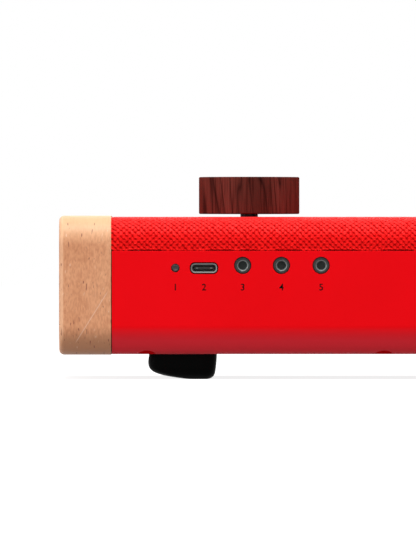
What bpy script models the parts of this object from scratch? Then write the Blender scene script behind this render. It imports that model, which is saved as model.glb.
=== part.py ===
# Portable keyboard with wooden end cheeks, a cloth-covered deck and 37 full-size keys.
# Units are metres. +Z is up, +X is the player's right and -Y is the player's side.
# The origin lies on the ground, under the middle of the case.

from math import asin, cos, degrees, radians, sin

import bmesh
import bpy
from mathutils import Matrix, Vector

MM = 0.001
CLEARANCE = 0.3 * MM  # between pieces that seat on one another

# Keys
OCTAVES = 3
GROUPS = ((3, 2), (4, 3))  # white and black keys of C to E, and of F to B
NOTES = ("c", "c_sharp", "d", "d_sharp", "e", "f", "f_sharp", "g", "g_sharp", "a", "a_sharp", "b")
FIRST_OCTAVE = 3
WHITE_PITCH = 23.5 * MM
KEY_GAP = 1.0 * MM
WHITE_LENGTH = 142 * MM  # the part of a white key that shows
WHITE_HEAD = 50 * MM  # the full-width part, in front of the black keys
WHITE_HEIGHT = 19 * MM
WHITE_FRONT_EDGE = 1.5 * MM
BLACK_WIDTH = 12.7 * MM
BLACK_TOP_WIDTH = 9.8 * MM
BLACK_RISE = 11 * MM  # above the white keys
BLACK_SLOPE = 6 * MM  # how far its front leans back
BLACK_TOP_EDGE = 1.2 * MM
KEY_WALL = 1.5 * MM
KEY_SKIN = 2.5 * MM  # the top plate of a key
RIB_THICKNESS = 3 * MM
RIB_FROM_PIVOT = 65 * MM
PRESS_DEG = 3.1  # a pressed key, about 9 mm at the front edge

# Key pivot
PIVOT_UNDER_DECK = 22 * MM  # behind the deck's front edge
PIVOT_RISE = 7 * MM  # above the keys' lower edges
RAIL_RADIUS = 3 * MM
RAIL_WEB = 2 * MM
RAIL_STEPS = 8
TAIL_WALL = 2 * MM  # the key's material behind the rail

# Case
END_GAP = 1.0 * MM  # beside the outermost keys
KEY_SETBACK = 4 * MM  # from the case's front face to the keys
KEY_TO_DECK = 2 * MM
BAY_DEPTH = 44.7 * MM  # behind the keys' tails, up to the rear face
CASE_HEIGHT = 46.8 * MM
CASE_CORNER = 10 * MM
CASE_WALL = 2.5 * MM
FRONT_WALL_HEIGHT = 21.4 * MM
SEAM_DROP = 11.5 * MM  # from the top of the cloth down to the case's upper edge
CORNER_STEPS = 6

# Deck and cloth
KEYS_BELOW_DECK = 13.4 * MM
DECK_WALL = 2.5 * MM
DECK_FRONT_CORNER = 6 * MM
CLOTH_THICKNESS = 1.2 * MM
CLOTH_HEM = 3.4 * MM  # below the front corner

# Wooden cheeks
CHEEK_THICKNESS = 17.4 * MM
CHEEK_HEIGHT = 47.4 * MM
CHEEK_BELOW_CASE = 0.2 * MM
CHEEK_CORNER = 10 * MM
CHEEK_EDGE = 1.7 * MM

# Rubber feet
FOOT_HEIGHT = 8.3 * MM
FOOT_WIDTH = 23.3 * MM
FOOT_DEPTH = 20 * MM
FOOT_SHOULDER = 3.2 * MM
FOOT_INSET = 0.7 * MM
FOOT_CORNER = 4.5 * MM
SOLE_WIDTH = 9 * MM
SOLE_DEPTH = 12 * MM
SOLE_SHIFT = 4.2 * MM  # from the foot's middle, away from the cheek
FOOT_FROM_END = 24.45 * MM
FOOT_FROM_FACE = 22 * MM

# Case screws
SCREW_FROM_END = 12.2 * MM
SCREW_FROM_REAR = 8.25 * MM
SCREW_FROM_FRONT = 18 * MM
SCREW_HOLE = 3.2 * MM
PILOT_HOLE = 2.6 * MM
PILOT_DEPTH = 6 * MM
RECESS_WIDTH = 6 * MM
RECESS_DEPTH = 12 * MM
FRONT_RECESS_DEPTH = 1.4 * MM
POST_RADIUS = 4.5 * MM
POST_MARGIN = 5.5 * MM  # between a post and the speaker beside it

# Sockets in the rear wall, by their distance from the case's right end
LIGHT_FROM_END = 21.9 * MM
USB_FROM_END = 31.65 * MM
JACKS_FROM_END = {"headphone_jack": 44.8 * MM, "sustain_jack": 58.0 * MM, "octave_jack": 71.5 * MM}
USB_BELOW_SEAM = 6.0 * MM
JACK_BELOW_SEAM = 5.1 * MM
PORT_INSET = 0.3 * MM  # behind the case's rear face
LIGHT_WIDTH = 3.0 * MM
LIGHT_LENGTH = 11 * MM
USB_WIDTH = 8.94 * MM
USB_HEIGHT = 3.26 * MM
USB_SHELL = 0.3 * MM
USB_BACK = 1.2 * MM
USB_LENGTH = 7.3 * MM
USB_TONGUE_WIDTH = 6.7 * MM
USB_TONGUE = 0.7 * MM
USB_TONGUE_INSET = 1.2 * MM
JACK_WIDTH = 6.0 * MM
JACK_BODY_WIDTH = 7.2 * MM
JACK_BODY_HEIGHT = 5.4 * MM
JACK_BODY_LENGTH = 13 * MM
JACK_BORE = 3.6 * MM
JACK_BORE_DEPTH = 14 * MM

# Boards, battery and speakers
BOARD_THICKNESS = 1.6 * MM
BOARD_PAST_JACK = 7.9 * MM  # beyond the body of the jack at its left end
MAIN_BOARD_DEPTH = 24 * MM
BOARD_BEHIND_WALL = 4 * MM
BOARD_BOSS_RADIUS = 2.5 * MM
BATTERY_LENGTH = 80 * MM
BATTERY_DEPTH = 28 * MM
BATTERY_HEIGHT = 14 * MM
BATTERY_EDGE = 2 * MM
BATTERY_RIB = 2 * MM
BATTERY_RIB_HEIGHT = 8 * MM
SPEAKER_WIDTH = 70 * MM
SPEAKER_HEIGHT = 24 * MM
SPEAKER_FLANGE = 2 * MM
SPEAKER_RIM = 3 * MM  # the flange's width round the cone
MAGNET_RADIUS = 13 * MM
MAGNET_HEIGHT = 9 * MM
CONE_WALL = 1.2 * MM

# Key frame and contact board
FRAME_PLATE = 2 * MM
FRAME_FRONT_GAP = 6 * MM  # from the front wall, clear of the rounded corner
GUIDE_THICKNESS = 3 * MM
GUIDE_HEIGHT = 17 * MM
GUIDE_FROM_FRONT = 21 * MM  # behind the key's front edge
CONTACT_BOARD_DEPTH = 44 * MM
BOARD_BEFORE_DOMES = 11 * MM
DOME_RADIUS = 3.5 * MM
DOME_TOP_RADIUS = 1.8 * MM
DOME_SIDES = 6

# Knob
KNOB_FROM_END = 47.1 * MM
KNOB_BEHIND_DECK_EDGE = 36 * MM
KNOB_WIDTH = 34.4 * MM
KNOB_HEIGHT = 12.65 * MM
KNOB_LIFT = 1.05 * MM  # above the cloth
KNOB_EDGE = 0.4 * MM
KNOB_BORE_DEPTH = 9 * MM
KNOB_SIDES = 40
SHAFT_WIDTH = 6 * MM
SHAFT_SIDES = 20
ENCODER_WIDTH = 12 * MM
ENCODER_HEIGHT = 6.5 * MM
ENCODER_FLOOR = 1.2 * MM
BUSHING_WALL = 1.0 * MM

# Heights that follow
CASE_BOTTOM = FOOT_HEIGHT + CLEARANCE
CASE_TOP = CASE_BOTTOM + CASE_HEIGHT
FLOOR = CASE_BOTTOM + CASE_WALL
SEAM = CASE_TOP - SEAM_DROP
CASING_EDGE = SEAM - CLEARANCE / 2
DECK_EDGE = SEAM + CLEARANCE / 2
DECK_TOP = CASE_TOP - CLOTH_THICKNESS - CLEARANCE
DECK_UNDERSIDE = DECK_TOP - DECK_WALL
WHITE_TOP = CASE_TOP - KEYS_BELOW_DECK
KEY_BOTTOM = WHITE_TOP - WHITE_HEIGHT
BLACK_TOP = WHITE_TOP + BLACK_RISE
PIVOT_Z = KEY_BOTTOM + PIVOT_RISE
FRAME_BOTTOM = FLOOR + CLEARANCE
FRAME_TOP = FRAME_BOTTOM + FRAME_PLATE
USB_Z = SEAM - USB_BELOW_SEAM
JACK_Z = SEAM - JACK_BELOW_SEAM
MAIN_BOARD_TOP = USB_Z - USB_HEIGHT / 2 - CLEARANCE
KNOB_BOTTOM = CASE_TOP + KNOB_LIFT

# Depths that follow
TAIL_LENGTH = RAIL_RADIUS + CLEARANCE + TAIL_WALL  # behind the pivot
DECK_DEPTH = PIVOT_UNDER_DECK + TAIL_LENGTH + BAY_DEPTH
CASE_DEPTH = KEY_SETBACK + WHITE_LENGTH + KEY_TO_DECK + DECK_DEPTH
REAR = CASE_DEPTH / 2
FRONT = -CASE_DEPTH / 2
KEY_FRONT = FRONT + KEY_SETBACK
HEAD_END = KEY_FRONT + WHITE_HEAD
BLACK_FRONT = HEAD_END + KEY_GAP
KEY_VISIBLE_END = KEY_FRONT + WHITE_LENGTH
DECK_FRONT = KEY_VISIBLE_END + KEY_TO_DECK
PIVOT_Y = DECK_FRONT + PIVOT_UNDER_DECK
KEY_END = PIVOT_Y + TAIL_LENGTH
RIB_Y = PIVOT_Y - RIB_FROM_PIVOT
SCREW_REAR_Y = REAR - SCREW_FROM_REAR
SCREW_FRONT_Y = FRONT + SCREW_FROM_FRONT
BOARD_REAR = REAR - CASE_WALL - BOARD_BEHIND_WALL

# Widths that follow
WHITE_COUNT = OCTAVES * sum(white for white, _ in GROUPS) + 1
HALF_CASE = WHITE_COUNT * WHITE_PITCH / 2 + END_GAP
POST_OUTER = HALF_CASE - SCREW_FROM_END
BOARD_RIGHT = POST_OUTER - POST_RADIUS - CLEARANCE
BOARD_LEFT = HALF_CASE - JACKS_FROM_END["octave_jack"] - JACK_BODY_WIDTH / 2 - BOARD_PAST_JACK
POST_MIDDLE = BOARD_LEFT - POST_MARGIN - POST_RADIUS
SPEAKER_X = POST_MIDDLE - POST_RADIUS - POST_MARGIN - SPEAKER_WIDTH / 2
POST_INNER = SPEAKER_X - SPEAKER_WIDTH / 2 - POST_MARGIN - POST_RADIUS
KNOB_X = HALF_CASE - KNOB_FROM_END
KNOB_Y = DECK_FRONT + KNOB_BEHIND_DECK_EDGE

# Speaker bay: clear of the keys' tails in front and of the rounded edge behind
SPEAKER_FRONT = KEY_END + 2 * CLEARANCE
SPEAKER_REAR = REAR - CASE_CORNER
SPEAKER_Y = (SPEAKER_FRONT + SPEAKER_REAR) / 2
SPEAKER_DEPTH = SPEAKER_REAR - SPEAKER_FRONT

BEYOND = 2 * MM  # how far a cutter reaches past what it cuts
OVERLAP = 1 * MM  # how far joined shapes reach into each other
NEAR = 0.01 * MM  # two places closer than this are the same
SHARP_DEG = 35  # edges steeper than this stay sharp
ALONG_X = Matrix(((0, 0, 1, 0), (1, 0, 0, 0), (0, 1, 0, 0), (0, 0, 0, 1)))
ALONG_Y = Matrix(((1, 0, 0, 0), (0, 0, -1, 0), (0, 1, 0, 0), (0, 0, 0, 1)))


def clear_scene():
    for old in list(bpy.data.objects):
        bpy.data.objects.remove(old)


def collection(name):
    made = bpy.data.collections.new(name)
    bpy.context.scene.collection.children.link(made)
    return made


def linear(hex_colour):
    """The linear colour of an sRGB hex value."""
    channels = [int(hex_colour[i : i + 2], 16) / 255 for i in (0, 2, 4)]
    return [c / 12.92 if c <= 0.04045 else ((c + 0.055) / 1.055) ** 2.4 for c in channels] + [1]


def finish(name, hex_colour, roughness, metallic=0.0):
    made = bpy.data.materials.new(name)
    made.use_nodes = True
    shader = made.node_tree.nodes["Principled BSDF"]
    shader.inputs["Base Color"].default_value = linear(hex_colour)
    shader.inputs["Roughness"].default_value = roughness
    shader.inputs["Metallic"].default_value = metallic
    return made


def round_edges(bm, edges, width, segments):
    bmesh.ops.bevel(
        bm, geom=edges, affect="EDGES", offset=width, segments=segments, profile=0.5, material=-1
    )


def mesh_from(bm):
    mesh = bpy.data.meshes.new("shape")
    bm.to_mesh(mesh)
    bm.free()
    return mesh


def add_box(bm, low, high):
    size = [b - a for a, b in zip(low, high)]
    middle = [(a + b) / 2 for a, b in zip(low, high)]
    place = Matrix.Translation(middle) @ Matrix.Diagonal((*size, 1))
    return bmesh.ops.create_cube(bm, size=1, matrix=place)["verts"]


def add_rod(bm, start, direction, length, radius, sides=16, end_radius=None):
    """A cylinder, or a cone where end_radius is given, from start along direction."""
    along = Vector(direction)
    place = Matrix.Translation(Vector(start) + along * length / 2)
    turn = along.to_track_quat("Z", "Y").to_matrix().to_4x4()
    far = radius if end_radius is None else end_radius
    bmesh.ops.create_cone(
        bm, cap_ends=True, segments=sides, radius1=radius, radius2=far, depth=length, matrix=place @ turn
    )


def boxes(corners):
    bm = bmesh.new()
    for low, high in corners:
        add_box(bm, low, high)
    return mesh_from(bm)


def rods(rows, direction, sides=16):
    """Cylinders side by side; each row holds a start, a length and a radius."""
    bm = bmesh.new()
    for start, length, radius in rows:
        add_rod(bm, start, direction, length, radius, sides)
    return mesh_from(bm)


def arc(centre, radius, start_deg, end_deg, steps=CORNER_STEPS):
    """Points on an arc, both ends included."""
    angles = [radians(start_deg + (end_deg - start_deg) * i / steps) for i in range(steps + 1)]
    return [(centre[0] + radius * cos(a), centre[1] + radius * sin(a)) for a in angles]


def prism(outline, start, end, turn=None):
    """A flat outline swept from start to end, along Z or along the axis that turn gives."""
    curve = bpy.data.curves.new("outline", "CURVE")
    curve.dimensions = "2D"
    curve.fill_mode = "BOTH"
    curve.extrude = abs(end - start) / 2
    spline = curve.splines.new("POLY")
    spline.points.add(len(outline) - 1)
    for point, (u, v) in zip(spline.points, outline):
        point.co = (u, v, 0, 1)
    spline.use_cyclic_u = True
    holder = bpy.data.objects.new("outline", curve)
    bpy.context.scene.collection.objects.link(holder)
    graph = bpy.context.evaluated_depsgraph_get()
    swept = bpy.data.meshes.new_from_object(holder.evaluated_get(graph))
    bpy.data.objects.remove(holder)
    bm = bmesh.new()
    bm.from_mesh(swept)
    bmesh.ops.remove_doubles(bm, verts=bm.verts, dist=0.001 * MM)
    bmesh.ops.translate(bm, verts=bm.verts, vec=(0, 0, (start + end) / 2))
    if turn:
        bmesh.ops.transform(bm, matrix=turn, verts=bm.verts)
    return mesh_from(bm)


def add_part(name, mesh, material, origin=(0, 0, 0), parent=None):
    """A sub-part whose mesh is given in world places and whose origin goes to origin."""
    obj = bpy.data.objects.new(name, mesh)
    mesh.name = name
    mesh.transform(Matrix.Translation(-Vector(origin)))
    mesh.materials.append(material)
    PARTS.objects.link(obj)
    obj.parent = parent or BASE
    obj.location = Vector(origin) - (parent.location if parent else Vector())
    return obj


def add_tool(name, mesh):
    obj = bpy.data.objects.new(name, mesh)
    obj.hide_render = True
    obj.display_type = "WIRE"
    CUTTERS.objects.link(obj)
    return obj


def combine(target, operation, tool):
    modifier = target.modifiers.new(operation.lower(), "BOOLEAN")
    modifier.operation = operation
    modifier.solver = "EXACT"
    modifier.object = tool


def smooth(obj):
    obj.data.shade_smooth()
    obj.data.set_sharp_from_angle(angle=radians(SHARP_DEG))


def empty(name, place):
    obj = bpy.data.objects.new(name, None)
    obj.location = place
    PARTS.objects.link(obj)
    return obj


def turned(name, profile, sides, material, origin, parent=None):
    """A profile of (radius, height) points about the vertical axis at origin, outer side top to bottom."""
    bm = bmesh.new()
    points = [bm.verts.new((origin[0] + r, origin[1], origin[2] + z)) for r, z in profile]
    for a, b in zip(points, points[1:]):
        bm.edges.new((a, b))
    obj = add_part(name, mesh_from(bm), material, origin, parent)
    screw = obj.modifiers.new("turn", "SCREW")
    screw.steps = sides
    screw.render_steps = sides
    screw.use_merge_vertices = True
    screw.merge_threshold = 0.001 * MM
    screw.use_smooth_shade = True
    return obj


def post_places():
    """The six rear screw posts, as (x, y)."""
    return [(side * x, SCREW_REAR_Y) for side in (-1, 1) for x in (POST_INNER, POST_MIDDLE, POST_OUTER)]


def front_screw_places():
    return [(side * x, SCREW_FRONT_Y) for side in (-1, 1) for x in (POST_INNER, POST_MIDDLE)]


def board_boss_places():
    inset = BOARD_BOSS_RADIUS + CLEARANCE
    across = (BOARD_LEFT + inset, BOARD_RIGHT - inset)
    deep = (BOARD_REAR - MAIN_BOARD_DEPTH + inset, BOARD_REAR - inset)
    return [(x, y) for x in across for y in deep]


def battery_box():
    """Low and high corners of the battery pack."""
    low = (-BATTERY_LENGTH / 2, SPEAKER_Y - BATTERY_DEPTH / 2, FRAME_BOTTOM)
    high = (BATTERY_LENGTH / 2, SPEAKER_Y + BATTERY_DEPTH / 2, FRAME_BOTTOM + BATTERY_HEIGHT)
    return low, high


def lower_casing(material):
    """A trough of even wall, with posts, bosses, ribs and end walls left standing in its hollow."""
    low_centre = CASE_BOTTOM + CASE_CORNER
    inner_corner = CASE_CORNER - CASE_WALL
    front_edge = CASE_BOTTOM + FRONT_WALL_HEIGHT
    rear_centre, front_centre = REAR - CASE_CORNER, FRONT + CASE_CORNER
    outer = [(REAR, CASING_EDGE)]
    outer += reversed(arc((rear_centre, low_centre), CASE_CORNER, -90, 0))
    outer += reversed(arc((front_centre, low_centre), CASE_CORNER, 180, 270))
    outer += [(FRONT, front_edge), (FRONT + CASE_WALL, front_edge)]
    outer += [(FRONT + CASE_WALL, CASING_EDGE)]
    hollow = [(REAR - CASE_WALL, CASING_EDGE + BEYOND)]
    hollow += reversed(arc((rear_centre, low_centre), inner_corner, -90, 0))
    hollow += reversed(arc((front_centre, low_centre), inner_corner, 180, 270))
    hollow += [(FRONT + CASE_WALL, front_edge), (FRONT - BEYOND, front_edge)]
    hollow += [(FRONT - BEYOND, CASING_EDGE + BEYOND)]
    casing = add_part("lower_casing", prism(outer, -HALF_CASE, HALF_CASE, ALONG_X), material)
    space = add_tool("casing_space", prism(hollow, -HALF_CASE - BEYOND, HALF_CASE + BEYOND, ALONG_X))

    bosses = [((x, y, CASE_BOTTOM), CASING_EDGE - CASE_BOTTOM, POST_RADIUS) for x, y in post_places()]
    board_bottom = MAIN_BOARD_TOP - BOARD_THICKNESS - CLEARANCE
    boss_height = board_bottom - CASE_BOTTOM
    bosses += [((x, y, CASE_BOTTOM), boss_height, BOARD_BOSS_RADIUS) for x, y in board_boss_places()]
    combine(space, "DIFFERENCE", add_tool("casing_bosses", rods(bosses, (0, 0, 1), 12)))

    low, high = battery_box()
    rib_top = FLOOR + BATTERY_RIB_HEIGHT
    walls = []
    for side in (-1, 1):
        near = high[0] + CLEARANCE
        pair = sorted((side * near, side * (near + BATTERY_RIB)))
        walls.append(((pair[0], low[1], CASE_BOTTOM), (pair[1], high[1], rib_top)))
        pair = sorted((side * (HALF_CASE - CASE_WALL), side * (HALF_CASE + BEYOND)))
        walls.append(((pair[0], KEY_END + CLEARANCE + CASE_WALL, CASE_BOTTOM), (pair[1], REAR, CASING_EDGE)))
    combine(space, "DIFFERENCE", add_tool("casing_ribs", boxes(walls)))
    combine(casing, "DIFFERENCE", space)

    below = CASE_BOTTOM - BEYOND
    deep, shallow = BEYOND + RECESS_DEPTH, BEYOND + FRONT_RECESS_DEPTH
    recesses = [((x, y, below), deep, RECESS_WIDTH / 2) for x, y in post_places()]
    recesses += [((x, y, below), shallow, RECESS_WIDTH / 2) for x, y in front_screw_places()]
    combine(casing, "DIFFERENCE", add_tool("screw_recesses", rods(recesses, (0, 0, 1))))
    places = post_places() + front_screw_places()
    screws = [((x, y, CASE_BOTTOM), CASE_HEIGHT, SCREW_HOLE / 2) for x, y in places]
    combine(casing, "DIFFERENCE", add_tool("screw_holes", rods(screws, (0, 0, 1), 8)))

    start = REAR - CASE_WALL - BEYOND
    through = CASE_WALL + 2 * BEYOND
    ports = [((HALF_CASE - LIGHT_FROM_END, start, USB_Z), through, LIGHT_WIDTH / 2 + CLEARANCE)]
    ports += [
        ((HALF_CASE - place, start, JACK_Z), through, JACK_WIDTH / 2 + CLEARANCE)
        for place in JACKS_FROM_END.values()
    ]
    combine(casing, "DIFFERENCE", add_tool("port_holes", rods(ports, (0, 1, 0))))
    slot = stadium(HALF_CASE - USB_FROM_END, USB_Z, USB_WIDTH + 2 * CLEARANCE, USB_HEIGHT + 2 * CLEARANCE)
    combine(casing, "DIFFERENCE", add_tool("usb_slot", prism(slot, -REAR - BEYOND, -start, ALONG_Y)))


def stadium(x, z, width, height, steps=4):
    """A round-ended outline about (x, z)."""
    radius = height / 2
    reach = width / 2 - radius
    return arc((x + reach, z), radius, -90, 90, steps) + arc((x - reach, z), radius, 90, 270, steps)


def deck_outline(offset, skirt):
    """The deck's cross-section, offset under the cloth's surface and closed at the height of skirt."""
    rear_radius = CASE_CORNER - offset
    front_radius = DECK_FRONT_CORNER - offset
    rear_centre = (REAR - CASE_CORNER, CASE_TOP - CASE_CORNER)
    front_centre = (DECK_FRONT + DECK_FRONT_CORNER, CASE_TOP - DECK_FRONT_CORNER)
    points = [(REAR - offset, skirt)]
    points += arc(rear_centre, rear_radius, 0, 90)
    points += arc(front_centre, front_radius, 90, 180)
    return points + [(DECK_FRONT + offset, skirt)]


def top_deck(material):
    """The moulded deck under the cloth: a shell with screw bosses, speaker openings and the knob's hole."""
    outside = CLOTH_THICKNESS + CLEARANCE
    shell = prism(deck_outline(outside, DECK_EDGE), -HALF_CASE, HALF_CASE, ALONG_X)
    deck = add_part("top_deck", shell, material)
    inner = deck_outline(outside + DECK_WALL, DECK_EDGE - BEYOND)
    space = add_tool("deck_space", prism(inner, -HALF_CASE - BEYOND, HALF_CASE + BEYOND, ALONG_X))
    start = DECK_EDGE - 2 * BEYOND
    bosses = [((x, y, start), DECK_TOP - start, POST_RADIUS) for x, y in post_places()]
    combine(space, "DIFFERENCE", add_tool("deck_bosses", rods(bosses, (0, 0, 1), 12)))
    combine(deck, "DIFFERENCE", space)

    depth = BEYOND + PILOT_DEPTH
    pilots = [((x, y, DECK_EDGE - BEYOND), depth, PILOT_HOLE / 2) for x, y in post_places()]
    combine(deck, "DIFFERENCE", add_tool("deck_pilots", rods(pilots, (0, 0, 1), 8)))
    bm = bmesh.new()
    for side in (-1, 1):
        add_oval(bm, side * SPEAKER_X, DECK_UNDERSIDE - BEYOND, DECK_TOP + BEYOND, SPEAKER_RIM)
    hole = SHAFT_WIDTH / 2 + BUSHING_WALL + 2 * CLEARANCE
    add_rod(bm, (KNOB_X, KNOB_Y, DECK_UNDERSIDE - BEYOND), (0, 0, 1), DECK_WALL + 2 * BEYOND, hole)
    combine(deck, "DIFFERENCE", add_tool("deck_openings", mesh_from(bm)))


def add_oval(bm, x, bottom, top, inset, sides=28):
    """An upright oval of the speaker's size, drawn in by inset."""
    half = (SPEAKER_WIDTH / 2 - inset, SPEAKER_DEPTH / 2 - inset)
    place = Matrix.Translation((x, SPEAKER_Y, (bottom + top) / 2)) @ Matrix.Diagonal((*half, 1, 1))
    bmesh.ops.create_cone(
        bm, cap_ends=True, segments=sides, radius1=1, radius2=1, depth=top - bottom, matrix=place
    )


def grille_cloth(material):
    """The cloth stretched over the deck, from the rear seam to its hem behind the keys."""
    hem = CASE_TOP - DECK_FRONT_CORNER - CLOTH_HEM
    outer = deck_outline(0, DECK_EDGE)
    outer[-1] = (DECK_FRONT, hem)
    inner = deck_outline(CLOTH_THICKNESS, DECK_EDGE)
    inner[-1] = (DECK_FRONT + CLOTH_THICKNESS, hem)
    reach = HALF_CASE - CLEARANCE
    cloth = add_part("grille_cloth", prism(outer + inner[::-1], -reach, reach, ALONG_X), material)
    hole = SHAFT_WIDTH / 2 + BUSHING_WALL + 2 * CLEARANCE
    opening = rods([((KNOB_X, KNOB_Y, DECK_TOP), DECK_WALL + BEYOND, hole)], (0, 0, 1))
    combine(cloth, "DIFFERENCE", add_tool("cloth_hole", opening))


def cheek(name, side, material):
    """A wooden end board, its corners rounded in profile and its outer edges eased."""
    near = HALF_CASE + CLEARANCE
    far = near + CHEEK_THICKNESS
    xs = sorted((side * near, side * far))
    bottom = CASE_BOTTOM - CHEEK_BELOW_CASE
    bm = bmesh.new()
    add_box(bm, (xs[0], FRONT, bottom), (xs[1], REAR, bottom + CHEEK_HEIGHT))
    across = [e for e in bm.edges if abs(e.verts[0].co.x - e.verts[1].co.x) > CHEEK_THICKNESS / 2]
    round_edges(bm, across, CHEEK_CORNER, CORNER_STEPS)
    outer = [e for e in bm.edges if all(abs(v.co.x - side * far) < NEAR for v in e.verts)]
    round_edges(bm, outer, CHEEK_EDGE, 3)
    smooth(add_part(name, mesh_from(bm), material))


def foot(name, side, end, material):
    """A rubber foot whose sole sits towards the middle of the case."""
    middle = (side * (HALF_CASE - FOOT_FROM_END), end * (REAR - FOOT_FROM_FACE))
    bm = bmesh.new()
    half_width, half_depth = FOOT_WIDTH / 2, FOOT_DEPTH / 2
    add_box(bm, (-half_width, -half_depth, 0), (half_width, half_depth, FOOT_HEIGHT))
    bmesh.ops.bisect_plane(
        bm, geom=bm.verts[:] + bm.edges[:] + bm.faces[:], plane_co=(0, 0, FOOT_SHOULDER), plane_no=(0, 0, 1)
    )
    uprights = [e for e in bm.edges if abs(e.verts[0].co.z - e.verts[1].co.z) > NEAR]
    round_edges(bm, uprights, FOOT_CORNER, 3)
    for vert in bm.verts:
        if vert.co.z < FOOT_SHOULDER / 2:
            vert.co.x = vert.co.x * SOLE_WIDTH / FOOT_WIDTH - side * SOLE_SHIFT
            vert.co.y *= SOLE_DEPTH / FOOT_DEPTH
        elif vert.co.z < (FOOT_SHOULDER + FOOT_HEIGHT) / 2:
            vert.co.x *= 1 - 2 * FOOT_INSET / FOOT_WIDTH
            vert.co.y *= 1 - 2 * FOOT_INSET / FOOT_DEPTH
    bmesh.ops.translate(bm, verts=bm.verts, vec=(*middle, 0))
    smooth(add_part(name, mesh_from(bm), material))


def key_layout():
    """Every key, low to high: its note, whether it is white, its sides, and its sides at the tail."""
    slot = BLACK_WIDTH + KEY_GAP
    left_end = -WHITE_COUNT * WHITE_PITCH / 2
    groups = list(GROUPS) * OCTAVES + [(1, 0)]
    keys, whites = [], 0
    for white, black in groups:
        tail = (white * WHITE_PITCH - black * slot) / white
        start = left_end + whites * WHITE_PITCH
        for i in range(white):
            head = (start + i * WHITE_PITCH, start + (i + 1) * WHITE_PITCH)
            shank_left = start + i * (tail + slot)
            keys.append((True, *head, shank_left, shank_left + tail))
            if i < black:
                keys.append((False, *(shank_left + tail, shank_left + tail + slot) * 2))
        whites += white
    inset = KEY_GAP / 2
    named = []
    for number, (is_white, left, right, tail_left, tail_right) in enumerate(keys):
        note = f"key_{NOTES[number % len(NOTES)]}_{FIRST_OCTAVE + number // len(NOTES)}"
        named.append((note, is_white, left + inset, right - inset, tail_left + inset, tail_right - inset))
    return named


def key_hollows(spans):
    """Hollows under a key, open below; each span gives left, right, front and rear."""
    corners = []
    for left, right, front, rear in spans:
        low = (left + KEY_WALL, front, KEY_BOTTOM - BEYOND)
        corners.append((low, (right - KEY_WALL, rear, WHITE_TOP - KEY_SKIN)))
    return boxes(corners)


def shank_spans(left, right, front):
    block = PIVOT_Y - RAIL_RADIUS - CLEARANCE - TAIL_WALL
    half_rib = RIB_THICKNESS / 2
    return [(left, right, front, RIB_Y - half_rib), (left, right, RIB_Y + half_rib, block)]


def white_key(name, left, right, tail_left, tail_right, material, pivot, notch):
    outline = [(left, KEY_FRONT), (right, KEY_FRONT), (right, HEAD_END)]
    if tail_right < right:
        outline += [(tail_right, HEAD_END)]
    outline += [(tail_right, KEY_END), (tail_left, KEY_END)]
    if tail_left > left:
        outline += [(tail_left, HEAD_END)]
    outline += [(left, HEAD_END)]
    mesh = prism(outline, KEY_BOTTOM, WHITE_TOP)
    bm = bmesh.new()
    bm.from_mesh(mesh)
    corner = Vector((0, KEY_FRONT, WHITE_TOP))
    lip = [e for e in bm.edges if all((v.co - corner).yz.length < NEAR for v in e.verts)]
    round_edges(bm, lip, WHITE_FRONT_EDGE, 2)
    bm.to_mesh(mesh)
    bm.free()
    key = add_part(name, mesh, material, ((left + right) / 2, PIVOT_Y, PIVOT_Z), pivot)
    spans = [(left, right, KEY_FRONT + KEY_WALL, HEAD_END - KEY_WALL)]
    spans += shank_spans(tail_left, tail_right, HEAD_END)
    combine(key, "DIFFERENCE", add_tool(name + "_hollow", key_hollows(spans)))
    combine(key, "DIFFERENCE", notch)


def black_key(name, left, right, material, pivot, notch):
    """A raised cap that narrows upwards, on a body that swings between two white keys."""
    bm = bmesh.new()
    add_box(bm, (left, BLACK_FRONT, KEY_BOTTOM), (right, KEY_END, WHITE_TOP))
    body = mesh_from(bm)
    bm = bmesh.new()
    verts = add_box(bm, (left, BLACK_FRONT, WHITE_TOP - KEY_SKIN / 2), (right, KEY_VISIBLE_END, BLACK_TOP))
    middle = (left + right) / 2
    for vert in verts:
        if vert.co.z > WHITE_TOP:
            vert.co.x = middle + (vert.co.x - middle) * BLACK_TOP_WIDTH / BLACK_WIDTH
            if vert.co.y < (BLACK_FRONT + KEY_VISIBLE_END) / 2:
                vert.co.y += BLACK_SLOPE
    rim = [e for e in bm.edges if all(v.co.z > WHITE_TOP for v in e.verts)]
    round_edges(bm, rim, BLACK_TOP_EDGE, 2)
    key = add_part(name, body, material, (middle, PIVOT_Y, PIVOT_Z), pivot)
    combine(key, "UNION", add_tool(name + "_cap", mesh_from(bm)))
    spans = shank_spans(left, right, BLACK_FRONT + KEY_WALL)
    combine(key, "DIFFERENCE", add_tool(name + "_hollow", key_hollows(spans)))
    combine(key, "DIFFERENCE", notch)


def rail_notch():
    """The keyhole-shaped space that all the keys keep round the pivot rail and its web."""
    swing = radians(PRESS_DEG) * PIVOT_RISE
    outline = keyhole(RAIL_RADIUS + CLEARANCE, RAIL_WEB / 2 + swing + CLEARANCE, KEY_BOTTOM - BEYOND)
    return add_tool("rail_notch", prism(outline, -HALF_CASE, HALF_CASE, ALONG_X))


def keyhole(radius, half_web, bottom):
    """A circle about the pivot that stands on a web, as a cross-section."""
    web_deg = degrees(asin(half_web / radius))
    outline = arc((PIVOT_Y, PIVOT_Z), radius, web_deg - 90, 270 - web_deg, RAIL_STEPS)
    return outline + [(PIVOT_Y - half_web, bottom), (PIVOT_Y + half_web, bottom)]


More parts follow.
